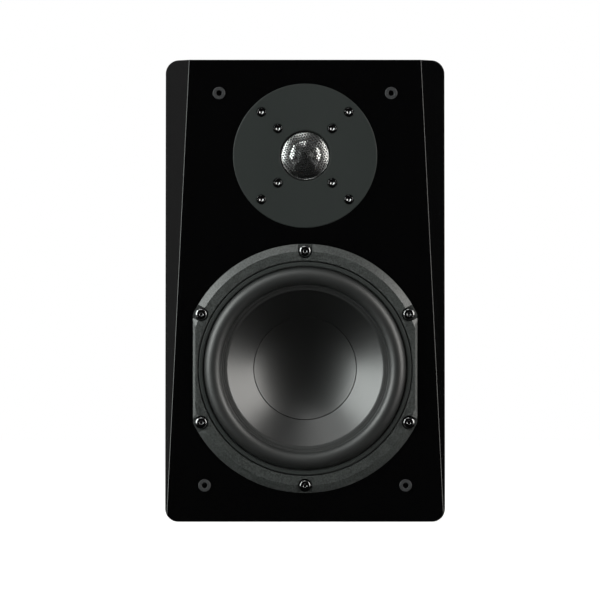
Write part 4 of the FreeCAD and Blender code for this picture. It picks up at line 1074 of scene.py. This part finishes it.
socket_outline = [(0, -12), (3.6, -12, 0.5), (3.6, 0), (4.5, 0), (4.5, 0.9, 0.5)]
socket_outline += [(2.3, 0.9, 0.3), (2.0, 0.5), (2.0, -10), (0, -10)]
socket_model = turned("grille_sockets", socket_outline, 64)
sockets = spread(socket_model, [(x, height, 0) for x, height in socket_places()])
sockets.rotation_euler = (pi / 2, 0, 0)
sockets.location = (0, front, 0)
settle(sockets)
nylon = grained_material(
    "black nylon", (0.026, 0.027, 0.028), (0.040, 0.041, 0.043), 0.42, 1500.0, 0.3
)
finished(sockets, nylon, "root", "black_nylon", "grille_sockets")


# ---------------- reflex port
# A moulded tube with a wide flared mouth, its flange lying on the back panel, and an inner
# flare pressed over the tube's far end.

port_low, port_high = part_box("port_tube")
port_height = (port_low.z + port_high.z) / 2
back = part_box("back_panel")[1].y
flange_radius, flange_foot, flare_top = 45, 38.25, 2.2
bore_radius, tube_radius, tube_end = 22.25, 24.75, -80
mouth_curve, mouth_back = 14.4, 11.9
mouth_ring = bore_radius + mouth_curve
inner_curve, inner_start = 9, -91
port_plastic = grained_material(
    "black port plastic", (0.012, 0.012, 0.0125), (0.022, 0.022, 0.023), 0.5, 1400.0, 0.4
)


def face_back(piece, across, height):
    """Turns a piece made about Z to look out of the back panel."""
    piece.rotation_euler = (pi / 2, 0, pi)
    piece.location = (across, back, height)
    return settle(piece)


port = turned(
    "port_tube",
    [(flange_radius, 0), (flange_radius, flare_top, 0.8)]
    + arc(mouth_ring, flare_top - mouth_curve, mouth_curve, 90, 180, 18)
    + [(bore_radius, tube_end + 0.8, 0.4), (bore_radius, tube_end)]
    + [(tube_radius, tube_end), (tube_radius, -12.2)]
    + arc(mouth_ring, -12.2, mouth_back, 180, 90, 12)
    + [(flange_foot, -0.3), (flange_foot, 0)],
)
face_back(port, 0, port_height)
finished(port, port_plastic, "root", "port_plastic", "port_tube")

inner_flare = turned(
    "port_inner_flare",
    [(tube_radius, -72), (tube_radius, tube_end), (bore_radius, tube_end)]
    + [(bore_radius, inner_start)]
    + arc(bore_radius + inner_curve, inner_start, inner_curve, 180, 270, 12)
    + [(34.25, -100, 0.4), (33.4, -98.6, 0.4)]
    + arc(32.4, -89.4, 9.2, 268, 200, 8)
    + [(26.75, -88), (26.75, -72, 0.5)],
)
face_back(inner_flare, 0, port_height)
finished(inner_flare, port_plastic, "root", "port_plastic", "port_inner_flare")


# ---------------- terminal plate
# A moulded plate with rounded corners and a bevelled rim, screwed over the cut-out in the back
# panel on a foam gasket. It carries the two binding posts.

plate_low, plate_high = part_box("terminal_plate")
terminal_height = (plate_low.z + plate_high.z) / 2
post_across = {"red": -16, "black": 16}
corner_screws = [(40, 28), (-40, 28), (-40, -28), (40, -28)]
plate_x, plate_y = 48 * mm, 36 * mm
plate_back, plate_face, clear_top = 1 * mm, 4 * mm, 6 * mm
plate_corner, plate_rim = 10 * mm, 0.9 * mm
post_hole, corner_hole, corner_seat = 6 * mm, 1.9 * mm, 3.6


def terminal_board():
    plate = block(
        "terminal_plate", (-plate_x, -plate_y, plate_back), (plate_x, plate_y, plate_face)
    )
    edit_mesh()
    pick(plate, "EDGE", lambda edge: abs(edge.verts[0].co.z - edge.verts[1].co.z) > 1 * mm)
    bpy.ops.mesh.bevel(offset=plate_corner, segments=12, affect="EDGES")
    pick(plate, "FACE", lambda face: face.normal.z > 0.9)
    bpy.ops.mesh.bevel(offset=plate_rim, segments=3, affect="EDGES")
    pick(plate, "FACE", lambda face: face.normal.z > 0.99 and face.calc_area() > 1e-3)
    bpy.ops.mesh.inset(thickness=2.2 * mm, depth=0)
    bpy.ops.mesh.inset(thickness=0.5 * mm, depth=-0.4 * mm)
    leave_mesh()
    for across in post_across.values():
        hole = drum("post hole", post_hole, -plate_back, clear_top, 64)
        hole.location.x = across * mm
        cut_with(plate, settle(hole))
    holes = drum("holes", corner_hole, -plate_back, clear_top, 32)
    cut_with(plate, spread(holes, spots(corner_screws)))
    shaped(plate, "BEVEL", width=0.15 * mm, segments=2, angle_limit=radians(50))
    face_back(plate, 0, terminal_height)
    finished(plate, port_plastic, "root", "terminal_plastic", "terminal_plate")


terminal_board()
terminal_fixings = spread(
    screw_model("terminal_screws", 3.1, 1.8, 1.5, 14, 2),
    spots(corner_screws, corner_seat),
    lambda at: 0.5 + at,
)
face_back(terminal_fixings, 0, terminal_height)
finished(terminal_fixings, black_oxide, "root", "black_screws", "terminal_screws")


# ---------------- binding posts
# Gold-plated brass posts with a banana bore and a cross hole, moulded shoulder insulators,
# gold-plated clamp washers, and fluted knobs in red and black plastic with brass threads.

gold = metal_material("gold-plated brass", (0.82, 0.58, 0.24), 0.16, 0.24)
red_plastic = grained_material(
    "red knob plastic", (0.32, 0.010, 0.008), (0.42, 0.018, 0.014), 0.3, 1200.0, 0.15
)
black_plastic = grained_material(
    "black knob plastic", (0.010, 0.010, 0.010), (0.018, 0.018, 0.018), 0.3, 1200.0, 0.15
)
insulator_outline = [(4.0, 1), (5.9, 1), (5.9, 4), (9.3, 4), (9.3, 6.5, 0.6), (4.0, 6.5, 0.3)]
insulators = spread(
    turned("post_insulators", insulator_outline, 96),
    spots((across, 0) for across in post_across.values()),
)
face_back(insulators, 0, terminal_height)
finished(insulators, black_plastic, "root", "terminal_plastic", "post_insulators")

shaft_radius, shaft_end, shaft_top, socket_bore, socket_floor = 3.9, -14, 23, 2.0, 10.8
thread_top, thread_foot, thread_pitch, thread_root = 22.2, 12.0, 0.625, 3.62
wire_hole, wire_height = 1.5, 8.6
knob_radius, knob_foot, knob_top = 8.5, 12.05, 28.05
flutes, flute_radius, flute_ring, flute_foot = 12, 1.5, 9.4, 15.0
shaft_outline = [(0, shaft_end), (3.3, shaft_end), (shaft_radius, shaft_end + 0.6)]
level = thread_foot
while level < thread_top:
    shaft_outline += [(shaft_radius, level), (thread_root, level + thread_pitch / 2)]
    level += thread_pitch
shaft_outline += [(shaft_radius, 22.4), (shaft_radius, shaft_top, 0.5), (2.3, shaft_top)]
shaft_outline += [(socket_bore, 22.7), (socket_bore, socket_floor), (0, socket_floor)]
washer_outline = [(4.0, 10.5), (7.2, 10.5, 0.5), (7.2, 12.0, 0.3), (4.0, 12.0, 0.3)]
knob_outline = [(4.0, knob_foot), (knob_radius, knob_foot, 0.8), (knob_radius, 14.0)]
knob_outline += [(knob_radius, knob_top, 1.2), (5.6, knob_top, 0.3), (5.4, 27.6)]
knob_outline += [(4.6, 27.6, 0.2), (4.0, 27.2)]
flute_turns = [2 * pi * step / flutes for step in range(flutes)]
flute_spots = [
    (flute_ring * mm * cos(turn), flute_ring * mm * sin(turn), 0) for turn in flute_turns
]

for colour, plastic in (("red", red_plastic), ("black", black_plastic)):
    across = post_across[colour] * mm
    shaft_name, washer_name, knob_name = (
        f"{colour}_post_{part}" for part in ("shaft", "washer", "knob")
    )
    post = turned(shaft_name, shaft_outline, 64)
    hole = drum("wire hole", wire_hole * mm, -6 * mm, 6 * mm, 32)
    hole.rotation_euler.x = pi / 2
    hole.location.z = wire_height * mm
    cut_with(post, settle(hole))
    face_back(post, across, terminal_height)
    finished(post, gold, "root", "gold_brass", shaft_name)

    washer = turned(washer_name, washer_outline, 96)
    face_back(washer, across, terminal_height)
    finished(washer, gold, f"{colour}_washer", "gold_brass", washer_name)

    knob = turned(knob_name, knob_outline, 144)
    flute = drum("flutes", flute_radius * mm, flute_foot * mm, 29 * mm, 24)
    cut_with(knob, spread(flute, flute_spots))
    face_back(knob, across, terminal_height)
    finished(knob, plastic, f"{colour}_knob", f"{colour}_knob", knob_name)


# ---------------- spider
# A round of resin-stiffened cotton, pressed in eight half waves. It centres the voice coil and
# flexes between the former and the frame's ledge.

waves, wave_steps, wave_inner, wave_outer, spider_sheet = 8, 8, 24.3, 50.0, 0.5
wave_width = (wave_outer - wave_inner) / waves
spider_low, spider_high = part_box("woofer_spider")
spider_face = (front - spider_high.y + (spider_high.y - spider_low.y) / 2) / mm
wave_height = ((spider_high.y - spider_low.y) / mm - spider_sheet) / 2
wave_line = [(19.5, 0), (wave_inner, 0)]
for step in range(1, waves * wave_steps):
    reach = wave_inner + wave_width * step / wave_steps
    wave_line.append((reach, wave_height * sin(pi * step / wave_steps)))
wave_line += [(wave_outer, 0), (54.5, 0)]
upper = [(r, z + spider_face + spider_sheet / 2) for r, z in wave_line]
lower = [(r, z + spider_face - spider_sheet / 2) for r, z in reversed(wave_line)]
spider = face_front(turned("woofer_spider", upper + lower, 128), woofer_height)
polish(spider, 50)


def cloth_material(name, dark, light, threads_per_metre):
    """Woven cotton stiffened with resin: crossed threads that show as bumps and colour."""
    made, tree, shader = finish_material(name, Roughness=0.8)
    place = add_node(tree, "ShaderNodeTexCoord")
    threads = {
        "Vector": place.outputs["Object"],
        "Scale": threads_per_metre,
        "Distortion": 1.5,
    }
    weave = [
        add_node(tree, "ShaderNodeTexWave", threads, bands_direction=way) for way in ("X", "Z")
    ]
    crossed = maths(tree, "MULTIPLY", weave[0].outputs["Fac"], weave[1].outputs["Fac"])
    coloured(tree, shader, crossed, dark, light)
    bumped(tree, shader, crossed, 0.6, 0.1)
    return made


spider_cloth = cloth_material("spider cloth", (0.28, 0.16, 0.05), (0.52, 0.33, 0.13), 260.0)
coat(spider, spider_cloth)
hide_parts("woofer_spider")
flexes(spider, "woofer_moving", 22.0, 51.0, woofer_height)


# ---------------- tinsel leads
# Two braided copper leads that run from the cone to the terminal strip under the motor ring,
# with slack for the stroke.

lead_points = [(7, -21.4, -29), (7.2, -26, -29.6), (7.8, -29.5, -36), (8.4, -27.5, -46)]
lead_points += [(8.2, -26.5, -55), (8, -30.5, -61.8), (8, -40, -60.8)]


def wire(name, points, radius, sides=10):
    """A round wire through points in millimetres, swept along a smooth curve."""
    bpy.ops.object.select_all(action="DESELECT")
    bpy.ops.curve.primitive_nurbs_path_add()
    path = bpy.context.object
    path.name = name
    spline = path.data.splines[0]
    spline.points.add(len(points) - len(spline.points))
    for point, spot in zip(spline.points, points):
        point.co = (*[part * mm for part in spot], 1)
    spline.order_u = 3
    spline.use_endpoint_u = True
    spline.resolution_u = 8
    path.data.bevel_depth = radius * mm
    path.data.bevel_resolution = sides // 4
    path.data.use_fill_caps = True
    bpy.ops.object.convert(target="MESH")
    return settle(bpy.context.object)


leads = joined(
    [
        wire("woofer_tinsel_leads", [(side * x, -z, y) for x, z, y in lead_points], 0.58)
        for side in (-1, 1)
    ]
)
leads.location = (0, front, woofer_height)
settle(leads)
leads.name = "woofer_tinsel_leads"
copper_braid = metal_material("tinned copper braid", (0.80, 0.46, 0.32), 0.3, 0.42, 900.0)
polish(leads, 60)
coat(leads, copper_braid)
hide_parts("woofer_tinsel_leads")
lead_start = Vector((0, front, woofer_height - 30 * mm))
lead_end = Vector((0, front, woofer_height - 55 * mm))
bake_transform(leads, "woofer_moving", "root", lead_start, lead_end)


# ---------------- damping pads
# Thick wadding of grey felted fibre, cut to size and glued to the inner walls. It is lofted, so
# its edges are round and its face is uneven.

felt = cloth_material("damping felt", (0.10, 0.10, 0.11), (0.22, 0.22, 0.23), 500.0)
loft = bpy.data.textures.new("lofted felt", "CLOUDS")
loft.noise_scale = 0.03
for name in ("damping_pad_left", "damping_pad_right", "damping_pad_top"):
    pad_low, pad_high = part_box(name)
    pad = block(name, pad_low, pad_high)
    shaped(pad, "BEVEL", width=4 * mm, segments=4)
    shaped(pad, "REMESH", mode="VOXEL", voxel_size=4 * mm)
    shaped(pad, "SMOOTH", factor=0.5, iterations=3)
    shaped(pad, "DISPLACE", texture=loft, texture_coords="LOCAL", strength=2.5 * mm, mid_level=1.0)
    polish(pad, 60)
    coat(pad, felt)
    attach(pad, "root")
    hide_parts(name)


# ---------------- inner pieces
# The driver motors, crossover, wiring, brace, gaskets and back panel keep their machined or
# moulded shapes, each with the finish of its own stuff.


def dress(material, *nodes):
    """Gives pieces that keep their shapes one material."""
    for node in nodes:
        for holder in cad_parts[node].material_slots:
            holder.material = material


dress(bare_board, "window_brace")
dress(
    metal_material("zinc-plated steel", (0.62, 0.63, 0.64), 0.28, 0.4),
    "woofer_top_plate",
    "woofer_pole_plate",
    "tweeter_top_plate",
    "tweeter_pole_plate",
    "post_inner_nuts",
)
dress(
    metal_material("brushed aluminium", (0.75, 0.76, 0.77), 0.25, 0.38),
    "woofer_coil_former",
)
dress(
    metal_material("enamelled copper", (0.72, 0.30, 0.16), 0.25, 0.36, 500.0),
    "woofer_voice_coil",
    "tweeter_voice_coil",
    "crossover_inductors",
    "woofer_shorting_ring",
)
for nodes, *finish in (
    (
        ("woofer_magnet", "tweeter_magnet"),
        "ferrite", (0.018, 0.018, 0.019), (0.045, 0.045, 0.047), 0.62, 900.0, 0.6,
    ),
    (
        ("woofer_gasket", "tweeter_gasket", "terminal_gasket"),
        "gasket foam", (0.012, 0.012, 0.012), (0.035, 0.035, 0.035), 0.9, 1600.0, 0.9, 0.2,
    ),
    (
        ("crossover_board",),
        "green circuit board", (0.012, 0.085, 0.035), (0.020, 0.12, 0.05), 0.4, 700.0, 0.2,
    ),
    (
        ("woofer_terminal_strip", "tweeter_terminals"),
        "brown tag board", (0.16, 0.075, 0.03), (0.24, 0.12, 0.05), 0.55, 900.0, 0.3,
    ),
    (
        ("crossover_capacitors",),
        "capacitor film", (0.50, 0.30, 0.06), (0.62, 0.40, 0.10), 0.28, 500.0, 0.15,
    ),
    (
        ("crossover_resistors",),
        "resistor ceramic", (0.62, 0.60, 0.54), (0.74, 0.72, 0.66), 0.75, 1400.0, 0.5,
    ),
    (
        ("internal_wiring",),
        "wire insulation", (0.018, 0.018, 0.018), (0.035, 0.035, 0.035), 0.42, 800.0, 0.2,
    ),
    (
        ("back_panel",),
        "black vinyl wrap", (0.010, 0.010, 0.0105), (0.020, 0.020, 0.021), 0.45, 1100.0, 0.9, 0.08,
    ),
):
    dress(grained_material(*finish), *nodes)
dress(black_plastic, "tweeter_coupler_ring", "tweeter_rear_chamber", "crossover_spacers")
